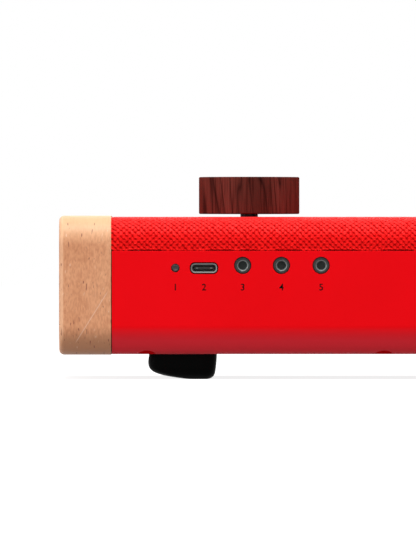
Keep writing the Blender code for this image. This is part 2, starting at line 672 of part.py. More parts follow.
def key_frame(keys, material):
    """A base plate with the pivot rail along its rear and one guide standing in the hollow of each key."""
    reach = HALF_CASE - CASE_WALL
    front = FRONT + CASE_WALL + FRAME_FRONT_GAP
    rail = keyhole(RAIL_RADIUS, RAIL_WEB / 2, FRAME_TOP)
    outline = [(front, FRAME_BOTTOM), (KEY_END, FRAME_BOTTOM), (KEY_END, FRAME_TOP), rail[-1]]
    outline += rail[:-1] + [(front, FRAME_TOP)]
    frame = add_part("key_frame", prism(outline, -reach, reach, ALONG_X), material)
    corners = []
    for _, is_white, left, right, _, _ in keys:
        y = (KEY_FRONT if is_white else BLACK_FRONT) + GUIDE_FROM_FRONT
        inset = KEY_WALL + CLEARANCE
        low = (left + inset, y, FRAME_BOTTOM + FRAME_PLATE / 2)
        corners.append((low, (right - inset, y + GUIDE_THICKNESS, FRAME_TOP + GUIDE_HEIGHT)))
    combine(frame, "UNION", add_tool("key_guides", boxes(corners)))
    start, through = FRAME_BOTTOM - BEYOND, FRAME_PLATE + 2 * BEYOND
    pilots = [((x, y, start), through, PILOT_HOLE / 2) for x, y in front_screw_places()]
    combine(frame, "DIFFERENCE", add_tool("frame_pilots", rods(pilots, (0, 0, 1), 8)))


def contact_board(keys, material):
    """The board under the keys, with a rubber dome below the rib of each key."""
    reach = HALF_CASE - CASE_WALL
    bottom = FRAME_TOP + CLEARANCE
    top = bottom + BOARD_THICKNESS
    front = RIB_Y - BOARD_BEFORE_DOMES
    plate = boxes([((-reach, front, bottom), (reach, front + CONTACT_BOARD_DEPTH, top))])
    board = add_part("contact_board", plate, material)
    pressed = KEY_BOTTOM - (RIB_FROM_PIVOT + RIB_THICKNESS / 2) * sin(radians(PRESS_DEG))
    bm = bmesh.new()
    for _, _, _, _, left, right in keys:
        foot_of_dome = ((left + right) / 2, RIB_Y, top - BOARD_THICKNESS / 2)
        height = pressed - CLEARANCE - foot_of_dome[2]
        add_rod(bm, foot_of_dome, (0, 0, 1), height, DOME_RADIUS, DOME_SIDES, DOME_TOP_RADIUS)
    combine(board, "UNION", add_tool("domes", mesh_from(bm)))


def main_board(material):
    low = (BOARD_LEFT, BOARD_REAR - MAIN_BOARD_DEPTH, MAIN_BOARD_TOP - BOARD_THICKNESS)
    add_part("main_board", boxes([(low, (BOARD_RIGHT, BOARD_REAR, MAIN_BOARD_TOP))]), material)


def jack(name, from_end, material):
    """A 3.5 mm socket: its body on the main board, its collar in the rear wall and its bore."""
    x = HALF_CASE - from_end
    bottom = MAIN_BOARD_TOP + CLEARANCE
    half = JACK_BODY_WIDTH / 2
    front = BOARD_REAR - JACK_BODY_LENGTH
    rear = BOARD_REAR + 2 * CLEARANCE
    body = boxes([((x - half, front, bottom), (x + half, rear, bottom + JACK_BODY_HEIGHT))])
    socket = add_part(name, body, material)
    face = REAR - PORT_INSET
    start = BOARD_REAR + CLEARANCE
    collar = rods([((x, start, JACK_Z), face - start, JACK_WIDTH / 2)], (0, 1, 0), 20)
    combine(socket, "UNION", add_tool(name + "_collar", collar))
    bore_end = (x, face - JACK_BORE_DEPTH, JACK_Z)
    bore = rods([(bore_end, JACK_BORE_DEPTH + BEYOND, JACK_BORE / 2)], (0, 1, 0))
    combine(socket, "DIFFERENCE", add_tool(name + "_bore", bore))


def usb_port(material):
    """A flat metal shell with its tongue, standing on the main board."""
    x = HALF_CASE - USB_FROM_END
    face = REAR - PORT_INSET
    rear = face - USB_LENGTH
    shell = prism(stadium(x, USB_Z, USB_WIDTH, USB_HEIGHT), -face, -rear, ALONG_Y)
    port = add_part("usb_c_port", shell, material)
    inner = stadium(x, USB_Z, USB_WIDTH - 2 * USB_SHELL, USB_HEIGHT - 2 * USB_SHELL)
    space = add_tool("usb_space", prism(inner, -face - BEYOND, -rear - USB_BACK, ALONG_Y))
    across, up = USB_TONGUE_WIDTH / 2, USB_TONGUE / 2
    tip = face - USB_TONGUE_INSET
    tongue = boxes([((x - across, rear, USB_Z - up), (x + across, tip, USB_Z + up))])
    combine(space, "DIFFERENCE", add_tool("usb_tongue", tongue))
    combine(port, "DIFFERENCE", space)


def charge_light(material):
    """A clear light guide from the main board to the rear face."""
    x = HALF_CASE - LIGHT_FROM_END
    face = REAR - PORT_INSET
    guide = rods([((x, face - LIGHT_LENGTH, USB_Z), LIGHT_LENGTH, LIGHT_WIDTH / 2)], (0, 1, 0), 20)
    add_part("charge_light", guide, material)


def battery(material):
    low, high = battery_box()
    pack = add_part("battery", boxes([(low, high)]), material)
    edges = pack.modifiers.new("edges", "BEVEL")
    edges.width = BATTERY_EDGE
    edges.segments = 2


def speaker(name, side, material):
    """An oval speaker that faces up under the deck: flange, basket and magnet."""
    x = side * SPEAKER_X
    top = DECK_UNDERSIDE - CLEARANCE
    bm = bmesh.new()
    add_oval(bm, x, top - SPEAKER_FLANGE, top, 0)
    unit = add_part(name, mesh_from(bm), material)
    magnet_top = top - SPEAKER_HEIGHT + MAGNET_HEIGHT
    basket_height = top - SPEAKER_FLANGE / 2 - magnet_top
    basket = oval_cone(x, magnet_top, basket_height, SPEAKER_RIM, 0)
    combine(unit, "UNION", add_tool(name + "_basket", basket))
    magnet_start = (x, SPEAKER_Y, top - SPEAKER_HEIGHT)
    magnet = rods([(magnet_start, MAGNET_HEIGHT + OVERLAP, MAGNET_RADIUS)], (0, 0, 1), 20)
    combine(unit, "UNION", add_tool(name + "_magnet", magnet))
    inset = SPEAKER_RIM + CONE_WALL
    cone = oval_cone(x, magnet_top + 2 * CONE_WALL, basket_height, inset, CONE_WALL)
    combine(unit, "DIFFERENCE", add_tool(name + "_cone", cone))


def oval_cone(x, bottom, height, inset, wall):
    """An upright cone, round and of the magnet's size below and oval above."""
    bm = bmesh.new()
    add_rod(bm, (x, SPEAKER_Y, bottom), (0, 0, 1), height, MAGNET_RADIUS - wall, 28)
    wide = (SPEAKER_WIDTH / 2 - inset) / (MAGNET_RADIUS - wall)
    deep = (SPEAKER_DEPTH / 2 - inset) / (MAGNET_RADIUS - wall)
    for vert in bm.verts:
        if vert.co.z > bottom + height / 2:
            vert.co.x = x + (vert.co.x - x) * wide
            vert.co.y = SPEAKER_Y + (vert.co.y - SPEAKER_Y) * deep
    return mesh_from(bm)


def encoder(material):
    """The encoder under the deck, with the bushing that holds the knob's shaft."""
    top = DECK_UNDERSIDE - CLEARANCE
    bottom = top - ENCODER_HEIGHT
    half = ENCODER_WIDTH / 2
    body = boxes([((KNOB_X - half, KNOB_Y - half, bottom), (KNOB_X + half, KNOB_Y + half, top))])
    unit = add_part("rotary_encoder", body, material)
    bore = SHAFT_WIDTH / 2 + CLEARANCE
    start, height = (KNOB_X, KNOB_Y, top - OVERLAP), CASE_TOP - top + OVERLAP
    bushing = rods([(start, height, bore + BUSHING_WALL)], (0, 0, 1), SHAFT_SIDES)
    combine(unit, "UNION", add_tool("encoder_bushing", bushing))
    start = (KNOB_X, KNOB_Y, bottom + ENCODER_FLOOR)
    well = rods([(start, CASE_TOP - bottom, bore)], (0, 0, 1), SHAFT_SIDES)
    combine(unit, "DIFFERENCE", add_tool("encoder_well", well))


def knob(wood, steel, axis):
    """The turned knob and its shaft, both centred on the axis."""
    radius = KNOB_WIDTH / 2
    bore = SHAFT_WIDTH / 2 + CLEARANCE
    ease = arc((radius - KNOB_EDGE, KNOB_HEIGHT - KNOB_EDGE), KNOB_EDGE, 90, 0, 2)
    ease += arc((radius - KNOB_EDGE, KNOB_EDGE), KNOB_EDGE, 0, -90, 2)
    profile = [(0, KNOB_HEIGHT), *ease, (bore, 0), (bore, KNOB_BORE_DEPTH), (0, KNOB_BORE_DEPTH)]
    turned("volume_knob", profile, KNOB_SIDES, wood, (KNOB_X, KNOB_Y, KNOB_BOTTOM), axis)
    bottom = DECK_UNDERSIDE - CLEARANCE - ENCODER_HEIGHT + ENCODER_FLOOR + CLEARANCE
    length = KNOB_BOTTOM + KNOB_BORE_DEPTH - CLEARANCE - bottom
    profile = [(0, length), (SHAFT_WIDTH / 2, length), (SHAFT_WIDTH / 2, 0), (0, 0)]
    turned("knob_shaft", profile, SHAFT_SIDES, steel, (KNOB_X, KNOB_Y, bottom), axis)


clear_scene()
PARTS = collection("portable_keyboard")
CUTTERS = collection("cutters")
BASE = empty("keyboard_base", (0, 0, 0))
KEY_AXIS = empty("key_axis", (0, PIVOT_Y, PIVOT_Z))
KNOB_AXIS = empty("knob_axis", (KNOB_X, KNOB_Y, KNOB_BOTTOM))

red_plastic = finish("red_moulded_plastic", "e60915", 0.42)
beech = finish("pale_beech", "d9a37c", 0.5)
speaker_steel = finish("black_speaker_steel", "1c1c1c", 0.45, 0.6)
rubber = finish("black_rubber", "0b0b0b", 0.75)
board = finish("green_circuit_board", "1f5a34", 0.5)
socket_black = finish("black_socket_plastic", "2e3832", 0.4)

lower_casing(red_plastic)
top_deck(finish("dark_deck_plastic", "2b1a1a", 0.6))
grille_cloth(finish("red_woven_cloth", "ea2222", 0.85))
for side_name, side_sign in (("left", -1), ("right", 1)):
    cheek(side_name + "_cheek", side_sign, beech)
    speaker("speaker_" + side_name, side_sign, speaker_steel)
    foot("foot_front_" + side_name, side_sign, -1, rubber)
    foot("foot_rear_" + side_name, side_sign, 1, rubber)

all_keys = key_layout()
white_plastic = finish("white_key_plastic", "efece4", 0.3)
black_plastic = finish("black_key_plastic", "161616", 0.35)
rail_space = rail_notch()
for key_name, key_is_white, x0, x1, x2, x3 in all_keys:
    if key_is_white:
        white_key(key_name, x0, x1, x2, x3, white_plastic, KEY_AXIS, rail_space)
    else:
        black_key(key_name, x0, x1, black_plastic, KEY_AXIS, rail_space)
key_frame(all_keys, finish("grey_frame_plastic", "5a5a5c", 0.55))
contact_board(all_keys, board)

main_board(board)
for jack_name, jack_place in JACKS_FROM_END.items():
    jack(jack_name, jack_place, socket_black)
usb_port(finish("usb_shell_steel", "c9c9c9", 0.3, 1.0))
charge_light(finish("grey_light_lens", "464242", 0.25))
battery(finish("battery_wrap", "2b3f6b", 0.5))
encoder(finish("encoder_zinc", "8d8f92", 0.4, 0.9))
knob(finish("dark_rosewood", "5b241d", 0.45), finish("black_shaft_steel", "231212", 0.4, 0.3), KNOB_AXIS)
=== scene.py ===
from math import cos, pi, radians, sin

import bmesh
import bpy
from mathutils import Matrix, Vector, noise


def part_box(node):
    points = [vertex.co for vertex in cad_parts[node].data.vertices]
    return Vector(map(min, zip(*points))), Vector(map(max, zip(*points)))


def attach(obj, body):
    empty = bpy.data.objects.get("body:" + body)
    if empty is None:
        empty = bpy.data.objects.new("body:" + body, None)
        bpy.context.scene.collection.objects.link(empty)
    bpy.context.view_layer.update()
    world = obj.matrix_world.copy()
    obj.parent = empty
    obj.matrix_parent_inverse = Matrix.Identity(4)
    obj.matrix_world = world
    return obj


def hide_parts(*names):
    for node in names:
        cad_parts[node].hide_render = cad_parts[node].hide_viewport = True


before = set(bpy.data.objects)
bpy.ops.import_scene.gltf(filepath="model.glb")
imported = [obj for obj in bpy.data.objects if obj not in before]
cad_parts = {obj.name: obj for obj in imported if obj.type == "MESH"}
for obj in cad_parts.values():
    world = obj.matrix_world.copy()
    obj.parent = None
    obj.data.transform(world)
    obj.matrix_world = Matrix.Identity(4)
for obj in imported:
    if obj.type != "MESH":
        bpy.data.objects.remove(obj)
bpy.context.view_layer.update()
print("frame loaded:", len(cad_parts), "nodes")

mm = 0.001
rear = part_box("lower_casing")[1].y
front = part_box("lower_casing")[0].y
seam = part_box("lower_casing")[1].z  # the casing's upper edge at the rear
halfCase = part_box("lower_casing")[1].x
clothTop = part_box("grille_cloth")[1].z
keyNames = [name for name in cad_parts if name.startswith("key_") and name != "key_frame"]
blackKeys = [name for name in keyNames if "_sharp_" in name]
whiteKeys = [name for name in keyNames if name not in blackKeys]


# Shapes


def addBox(bm, low, high):
    size = [b - a for a, b in zip(low, high)]
    middle = [(a + b) / 2 for a, b in zip(low, high)]
    place = Matrix.Translation(middle) @ Matrix.Diagonal((*size, 1))
    bmesh.ops.create_cube(bm, size=1, matrix=place)
    return bm


def roundEdges(bm, edges, width, steps):
    bmesh.ops.bevel(
        bm, geom=list(edges), affect="EDGES", offset=width, segments=steps, profile=0.5, material=-1
    )


def edgesWhere(bm, test):
    # the edges whose two ends both pass the test
    return [edge for edge in bm.edges if all(test(vert.co) for vert in edge.verts)]


def span(edge, axis):
    # how far an edge reaches along an axis
    return abs(edge.verts[0].co[axis] - edge.verts[1].co[axis])


def near(a, b):
    return abs(a - b) < 0.01 * mm


def splitAt(bm, place, direction):
    whole = bm.verts[:] + bm.edges[:] + bm.faces[:]
    bmesh.ops.bisect_plane(bm, geom=whole, plane_co=place, plane_no=direction)


def pushFaces(bm, faces, vec):
    # extrudes the faces and takes away the ones left behind
    pushed = bmesh.ops.extrude_face_region(bm, geom=faces)["geom"]
    moved = [v for v in pushed if isinstance(v, bmesh.types.BMVert)]
    bmesh.ops.translate(bm, verts=moved, vec=vec)
    bmesh.ops.delete(bm, geom=faces, context="FACES")


def lathe(bm, profile, centre, axis, steps=64):
    # turns (radius, distance along the axis) points round the axis through centre
    axis, centre = Vector(axis), Vector(centre)
    side = axis.orthogonal().normalized()
    ring = [bm.verts.new(centre + side * r + axis * along) for r, along in profile]
    edges = [bm.edges.new(pair) for pair in zip(ring, ring[1:])]
    bmesh.ops.spin(bm, geom=ring + edges, cent=centre, axis=axis, angle=2 * pi, steps=steps, use_merge=True)
    return bm


def closeTurned(bm):
    # merges the poles of turned shapes and points their faces outwards
    bmesh.ops.remove_doubles(bm, verts=bm.verts, dist=0.001 * mm)
    bmesh.ops.recalc_face_normals(bm, faces=bm.faces)
    return bm


def arcPoints(centre, radius, startDeg, endDeg, steps):
    angles = [radians(startDeg + (endDeg - startDeg) * i / steps) for i in range(steps + 1)]
    return [(centre[0] + radius * cos(a), centre[1] + radius * sin(a)) for a in angles]


def turned(profile, centre, axis, steps=64):
    return closeTurned(lathe(bmesh.new(), profile, centre, axis, steps))


def toMesh(name, bm):
    mesh = bpy.data.meshes.new(name)
    bm.to_mesh(mesh)
    bm.free()
    return mesh


def addObject(name, data):
    added = bpy.data.objects.new(name, data)
    bpy.context.scene.collection.objects.link(added)
    return added


def carve(bm, steps):
    # applies Boolean steps, each an operation and the bmesh of its tool, and gives the new bmesh
    shape = addObject("work", toMesh("work", bm))
    tools = []
    for operation, toolMesh in steps:
        modifier = shape.modifiers.new("step", "BOOLEAN")
        modifier.operation = operation
        modifier.solver = "EXACT"
        modifier.object = addObject("work", toMesh("work", toolMesh))
        tools.append(modifier.object)
    graph = bpy.context.evaluated_depsgraph_get()
    carved = bmesh.new()
    carved.from_mesh(bpy.data.meshes.new_from_object(shape.evaluated_get(graph)))
    for used in [shape, *tools]:
        bpy.data.objects.remove(used)
    return carved


def newPiece(name, bm, material, body="case", replaced=(), sharpDeg=35, flatFaces=False):
    mesh = toMesh(name, bm)
    mesh.materials.append(material)
    mesh.shade_smooth()
    mesh.set_sharp_from_angle(angle=radians(sharpDeg))
    piece = addObject(name, mesh)
    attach(piece, body)
    if replaced:
        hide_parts(*replaced)
    if flatFaces:
        # the wide flat faces keep their own shading beside rounded edges
        piece.modifiers.new("flat faces", "WEIGHTED_NORMAL").keep_sharp = True
    return piece


# Materials


colourMix = {"data_type": "RGBA"}
shadeMix = {"data_type": "RGBA", "blend_type": "MULTIPLY"}


def toLinear(hexColour):
    channels = [int(hexColour[i : i + 2], 16) / 255 for i in (0, 2, 4)]
    return [c / 12.92 if c <= 0.04045 else ((c + 0.055) / 1.055) ** 2.4 for c in channels] + [1]


def addNode(tree, kind, settings=None, inputs=None, out=0):
    # adds a node with its settings and links; stops are a colour ramp's places and colours
    node = tree.nodes.new("ShaderNode" + kind)
    for name, value in (settings or {}).items():
        if name == "stops":
            ramp = node.color_ramp.elements
            while len(ramp) < len(value):
                ramp.new(0.5)
            for stop, (position, colour) in zip(ramp, value):
                stop.position = position
                stop.color = toLinear(colour)
        else:
            setattr(node, name, value)
    for name, value in (inputs or {}).items():
        if isinstance(value, bpy.types.NodeSocket):
            tree.links.new(value, node.inputs[name])
        else:
            node.inputs[name].default_value = value
    return node.outputs[out]


def startMaterial(name, colour, roughness, **fixed):
    # gives the material, its tree, its shader and the piece's own coordinates in metres
    material = bpy.data.materials.new(name)
    material.use_nodes = True
    tree = material.node_tree
    shader = tree.nodes["Principled BSDF"]
    shader.inputs["Base Color"].default_value = toLinear(colour)
    shader.inputs["Roughness"].default_value = roughness
    for socket, value in fixed.items():
        shader.inputs[socket.replace("_", " ")].default_value = value
    return material, tree, shader, addNode(tree, "TexCoord", out="Object")


def perMm(x, y, z):
    # a mapping scale at which one unit of the pattern is so many millimetres long
    return (1 / (x * mm), 1 / (y * mm), 1 / (z * mm))


def wire(tree, shader, **sources):
    for socket, source in sources.items():
        tree.links.new(source, shader.inputs[socket.replace("_", " ")])


def mouldedPlastic(name, colour, dull, roughness, grain, specular=0.5, sheen=0.0):
    # plastic from a spark-eroded mould: an even colour under a fine satin grain that softens the gloss
    material, tree, shader, place = startMaterial(
        name, colour, roughness, Specular_IOR_Level=specular, Sheen_Weight=sheen
    )
    cloud = addNode(tree, "TexNoise", inputs={"Vector": place, "Scale": 1 / (38 * mm), "Detail": 2})
    tone = addNode(tree, "ValToRGB", {"stops": [(0.35, dull), (0.65, colour)]}, {0: cloud})
    pits = addNode(tree, "TexNoise", inputs={"Vector": place, "Scale": 1 / (grain * mm), "Detail": 3})
    gloss = addNode(tree, "MapRange", inputs={0: pits, 3: roughness - 0.06, 4: roughness + 0.06})
    bump = addNode(tree, "Bump", inputs={"Strength": 0.25, "Distance": 0.02 * mm, "Height": pits})
    wire(tree, shader, Base_Color=tone, Roughness=gloss, Normal=bump)
    return material


def rubUnderside(material, wearAndReflection):
    # a painted reflection of the pale floor: what faces down is mixed towards a milky tone, as the floor
    # mirrored in it would show
    tree = material.node_tree
    shader = tree.nodes["Principled BSDF"]
    tone = shader.inputs["Base Color"].links[0].from_socket
    facing = addNode(tree, "TexCoord", out="Normal")
    facing = addNode(tree, "SeparateXYZ", inputs={0: facing}, out="Z")
    share = addNode(tree, "MapRange", inputs={0: facing, 1: -0.08, 2: -0.55})
    tone = addNode(tree, "Mix", colourMix, {0: share, 6: tone, 7: toLinear(wearAndReflection)}, out=2)
    wire(tree, shader, Base_Color=tone)


# a hairline scratch on the right cheek's rear end: its middle, its lean, and where its sides and ends fade
scratch = {
    "x": 266.1 * mm,
    "z": 21.2 * mm,
    "leanDeg": 32.1,
    "sides": (0.04 * mm, 0.2 * mm),
    "ends": (9.2 * mm, 10.6 * mm),
    "strength": 0.6,
}


def scratchShare(tree, place):
    place = addNode(tree, "Mapping", inputs={"Vector": place, "Location": (-scratch["x"], 0, -scratch["z"])})
    turn = {"Vector": place, "Rotation": (0, radians(scratch["leanDeg"]), 0)}
    split = addNode(tree, "SeparateXYZ", inputs={0: addNode(tree, "Mapping", inputs=turn)}).node.outputs
    aside = addNode(tree, "Math", {"operation": "ABSOLUTE"}, {0: split["X"]})
    along = addNode(tree, "Math", {"operation": "ABSOLUTE"}, {0: split["Z"]})
    start, end = scratch["sides"]
    thin = addNode(tree, "MapRange", inputs={0: aside, 1: start, 2: end, 3: scratch["strength"], 4: 0.0})
    start, end = scratch["ends"]
    short = addNode(tree, "MapRange", inputs={0: along, 1: start, 2: end, 3: 1.0, 4: 0.0})
    return addNode(tree, "Math", {"operation": "MULTIPLY"}, {0: thin, 1: short})


def oiledBeech():
    # steamed beech, planed and oiled: pinkish tan with straight fibres, short dark ray flecks and pale streaks
    material, tree, shader, place = startMaterial("oiled_beech", "d99a72", 0.45, Specular_IOR_Level=0.3)
    bands = addNode(tree, "Mapping", inputs={"Vector": place, "Scale": perMm(7, 240, 16)})
    bands = addNode(tree, "TexNoise", inputs={"Vector": bands, "Scale": 1, "Detail": 3})
    tans = {"stops": [(0.3, "de9c72"), (0.5, "e6a57b"), (0.72, "eeb085")]}
    tone = addNode(tree, "ValToRGB", tans, {0: bands})
    fibres = addNode(tree, "Mapping", inputs={"Vector": place, "Scale": perMm(0.6, 40, 1.6)})
    fibres = addNode(tree, "TexNoise", inputs={"Vector": fibres, "Scale": 1, "Detail": 4})
    lines = addNode(tree, "ValToRGB", {"stops": [(0.3, "e8dbd5"), (0.62, "ffffff")]}, {0: fibres})
    tone = addNode(tree, "Mix", shadeMix, {0: 1.0, 6: tone, 7: lines}, out=2)
    facing = addNode(tree, "TexCoord", out="Normal")
    facing = addNode(tree, "SeparateXYZ", inputs={0: facing}).node.outputs
    sideways = addNode(tree, "Math", {"operation": "ABSOLUTE"}, {0: facing["X"]})
    # the rays are cut across on the narrow faces and lengthways on the wide sides
    flecks = []
    for size in ((0.6, 7, 2.0), (7, 4.5, 0.6)):
        rays = addNode(tree, "Mapping", inputs={"Vector": place, "Scale": perMm(*size)})
        flecks.append(addNode(tree, "TexNoise", inputs={"Vector": rays, "Scale": 1, "Detail": 0}))
    wide = addNode(tree, "MapRange", inputs={0: sideways, 1: 0.6, 2: 0.8})
    flecks = addNode(tree, "Mix", {"data_type": "FLOAT"}, {0: wide, 2: flecks[0], 3: flecks[1]})
    # painted light: what faces up is mixed paler as if lit from above, the rounded edges get a painted
    # highlight, and what faces down gets painted shade
    paintedTopLight = addNode(tree, "MapRange", inputs={0: facing["Z"], 4: 0.85})
    rounded = {"stops": [(0.06, "000000"), (0.3, "c0c0c0"), (0.75, "a0a0a0"), (0.97, "000000")]}
    paintedEdgeHighlight = addNode(tree, "ValToRGB", rounded, {0: sideways})
    unlit = addNode(tree, "MapRange", inputs={0: facing["Z"], 1: -0.25, 2: -0.6})
    dark = addNode(tree, "ValToRGB", {"stops": [(0.165, "e8e8e8"), (0.235, "000000")]}, {0: flecks})
    pale = addNode(tree, "ValToRGB", {"stops": [(0.77, "000000"), (0.86, "b0b0b0")]}, {0: flecks})
    # the first three tints are painted light and shade; the flecks, streaks and scratch are the wood's own
    tints = [(paintedTopLight, "ecc598"), (paintedEdgeHighlight, "fcc9a2"), (unlit, "c68c67"), (dark, "8f4f3e")]
    tints += [(pale, "fbdcc0"), (scratchShare(tree, place), "f3d0b8")]
    for share, tint in tints:
        tone = addNode(tree, "Mix", colourMix, {0: share, 6: tone, 7: toLinear(tint)}, out=2)
    bump = addNode(tree, "Bump", inputs={"Strength": 0.15, "Distance": 0.04 * mm, "Height": fibres})
    gloss = addNode(tree, "MapRange", inputs={0: fibres, 3: 0.4, 4: 0.52})
    wire(tree, shader, Base_Color=tone, Roughness=gloss, Normal=bump)
    return material


def turnedRosewood():
    # rosewood turned and wax polished: deep red-brown with dark, wavering growth lines that stand upright
    material, tree, shader, place = startMaterial("turned_rosewood", "5f241c", 0.5, Specular_IOR_Level=0.0)
    lean = addNode(tree, "Mapping", inputs={"Vector": place, "Rotation": (0, radians(-5), 0)})
    lean = addNode(tree, "Mapping", inputs={"Vector": lean, "Scale": perMm(8, 14, 110)})
    figure = addNode(tree, "TexNoise", inputs={"Vector": lean, "Scale": 1, "Detail": 1})
    browns = {"stops": [(0.3, "582822"), (0.5, "6a322b"), (0.7, "753730")]}
    tone = addNode(tree, "ValToRGB", browns, {0: figure})
    rings = addNode(tree, "Math", {"operation": "MULTIPLY"}, {0: figure, 1: 9.0})
    rings = addNode(tree, "Math", {"operation": "PINGPONG"}, {0: rings, 1: 0.5})
    lines = {"stops": [(0.0, "e8e8e8"), (0.08, "909090"), (0.2, "000000")]}
    veins = addNode(tree, "ValToRGB", lines, {0: rings})
    tone = addNode(tree, "Mix", colourMix, {0: veins, 6: tone, 7: toLinear("2e1412")}, out=2)
    pores = addNode(tree, "Mapping", inputs={"Vector": place, "Scale": perMm(0.5, 0.5, 14)})
    pores = addNode(tree, "TexNoise", inputs={"Vector": pores, "Scale": 1, "Detail": 2})
    shade = addNode(tree, "ValToRGB", {"stops": [(0.3, "c2b8b8"), (0.55, "ffffff")]}, {0: pores})
    tone = addNode(tree, "Mix", shadeMix, {0: 1.0, 6: tone, 7: shade}, out=2)
    bump = addNode(tree, "Bump", inputs={"Strength": 0.25, "Distance": 0.05 * mm, "Height": pores})
    wire(tree, shader, Base_Color=tone, Normal=bump)
    return material


def wovenClothFinish():
    # coarse hopsack of dyed polyester: staggered rows of soft lumps, with painted shade darkening the gaps
    # where the threads dive under
    material, tree, shader, place = startMaterial(
        "woven_grille_cloth", "f02020", 0.45, Sheen_Weight=0.02, Sheen_Roughness=0.5, Specular_IOR_Level=0.055
    )
    threads = addNode(tree, "TexCoord", out="UV")
    wander = addNode(tree, "TexNoise", inputs={"Vector": threads, "Scale": 0.9, "Detail": 2}, out="Color")
    drift = addNode(tree, "VectorMath", {"operation": "SCALE"}, {0: wander, "Scale": 0.3})
    threads = addNode(tree, "VectorMath", {"operation": "ADD"}, {0: threads, 1: drift})
    # threads cross where both diagonal counts are whole, so each cell of them has a crossing at its middle
    turn = {"Vector": threads, "Rotation": (0, 0, radians(45)), "Scale": (2**0.5, 2**0.5, 1)}
    cell = addNode(tree, "Mapping", inputs=turn)
    wrap = {0: cell, 1: (0.5, 0.5, 0.5), 2: (-0.5, -0.5, -0.5)}
    cell = addNode(tree, "VectorMath", {"operation": "WRAP"}, wrap)
    # each crossing's dark spot is stretched and tilted like the shadow a lump casts below it: painted shade
    squeeze = {"Vector": cell, "Rotation": (0, 0, radians(45 + 7)), "Scale": (0.46, 0.2, 1000)}
    spot = addNode(tree, "Mapping", {"vector_type": "TEXTURE"}, squeeze)
    spot = addNode(tree, "VectorMath", {"operation": "LENGTH"}, {0: spot}, out="Value")
    smooth = {"interpolation_type": "SMOOTHERSTEP"}
    spot = addNode(tree, "MapRange", smooth, {0: spot, 1: -0.5, 2: 2.0, 3: 1.0, 4: 0.0})
    depth = addNode(tree, "Math", {"operation": "MULTIPLY"}, {0: spot, 1: 0.58})
    # the gaps that fall to the right deepen where those that rise close up, and the other way round
    sides = addNode(tree, "SeparateXYZ", inputs={0: cell}).node.outputs
    tight = addNode(tree, "TexNoise", inputs={"Vector": threads, "Scale": 1.1, "Detail": 1})
    shares = {"X": {1: 0.36, 2: 0.62, 3: 0.26, 4: 0.6}, "Y": {1: 0.38, 2: 0.66, 3: 0.42, 4: 0.1}}
    for side, share in shares.items():
        share = addNode(tree, "MapRange", inputs={0: tight, **share})
        dip = addNode(tree, "Math", {"operation": "ABSOLUTE"}, {0: sides[side]})
        dip = addNode(tree, "MapRange", smooth, {0: dip, 1: -0.04, 2: 0.28, 3: 1.0, 4: 0.0})
        depth = addNode(tree, "Math", {"operation": "MULTIPLY_ADD"}, {0: dip, 1: share, 2: depth})
    # where the cloth faces up, as on the deck's flat top, the gaps are shallower and their painted shade
    # lighter
    facing = addNode(tree, "TexCoord", out="Normal")
    facing = addNode(tree, "SeparateXYZ", inputs={0: facing}, out="Z")
    gapReliefAndShade = addNode(tree, "MapRange", inputs={0: facing, 1: 0.7, 2: 0.97, 3: 1.0, 4: 0.35})
    depth = addNode(tree, "Math", {"operation": "MULTIPLY"}, {0: depth, 1: gapReliefAndShade})
    lump = addNode(tree, "Math", {"operation": "SUBTRACT"}, {0: 1.0, 1: depth})
    wearAndReflection = addNode(tree, "TexNoise", inputs={"Vector": place, "Scale": 1 / (1.5 * mm), "Detail": 2})
    uneven = addNode(tree, "MapRange", inputs={0: wearAndReflection, 1: 0.3, 2: 0.7, 3: -0.2, 4: 0.16})
    lump = addNode(tree, "Math", {"operation": "ADD"}, {0: lump, 1: uneven})
    # painted shade: the reds run from dark in the gaps, where the lumps shade them, to bright on the lumps'
    # tops
    reds = {"stops": [(0.0, "b60203"), (0.3, "c80304"), (0.7, "ea0d0e"), (1.0, "ff1614")]}
    tone = addNode(tree, "ValToRGB", reds, {0: lump})
    # painted sheen: the tops of the lumps are mixed paler over the cloth's upper corners, most at the rear, as
    # if catching the light from above
    paintedSheen = addNode(tree, "MapRange", inputs={0: facing, 1: 0.36, 2: 0.7})
    tops = addNode(tree, "MapRange", inputs={0: lump, 1: 0.5, 2: 1.0})
    rearward = addNode(tree, "SeparateXYZ", inputs={0: place}, out="Y")
    rearward = addNode(tree, "MapRange", inputs={0: rearward, 1: 88 * mm, 2: 101 * mm, 3: 0.25})
    for share in (tops, rearward):
        paintedSheen = addNode(tree, "Math", {"operation": "MULTIPLY"}, {0: paintedSheen, 1: share})
    tone = addNode(tree, "Mix", colourMix, {0: paintedSheen, 6: tone, 7: toLinear("ff3230")}, out=2)
    fluff = addNode(tree, "TexNoise", inputs={"Vector": place, "Scale": 1 / (0.35 * mm), "Detail": 2})
    height = addNode(tree, "Math", {"operation": "MULTIPLY_ADD"}, {0: fluff, 1: 0.12, 2: lump})
    bump = addNode(tree, "Bump", inputs={"Strength": 0.65, "Distance": 0.45 * mm, "Height": height})
    gloss = addNode(tree, "MapRange", inputs={0: lump, 1: 0.35, 2: 0.95, 3: 0.95, 4: 0.36})
    wire(tree, shader, Base_Color=tone, Roughness=gloss, Normal=bump)
    return material


def mouldedRubber():
    # black thermoplastic rubber from a blasted mould: dull, with broad weak highlights
    material, tree, shader, place = startMaterial("moulded_rubber", "060606", 0.42, Specular_IOR_Level=0.02)
    grit = addNode(tree, "TexNoise", inputs={"Vector": place, "Scale": 1 / (0.4 * mm), "Detail": 3})
    tone = addNode(tree, "ValToRGB", {"stops": [(0.3, "040404"), (0.7, "080808")]}, {0: grit})
    bump = addNode(tree, "Bump", inputs={"Strength": 0.3, "Distance": 0.03 * mm, "Height": grit})
    wire(tree, shader, Base_Color=tone, Normal=bump)
    return material


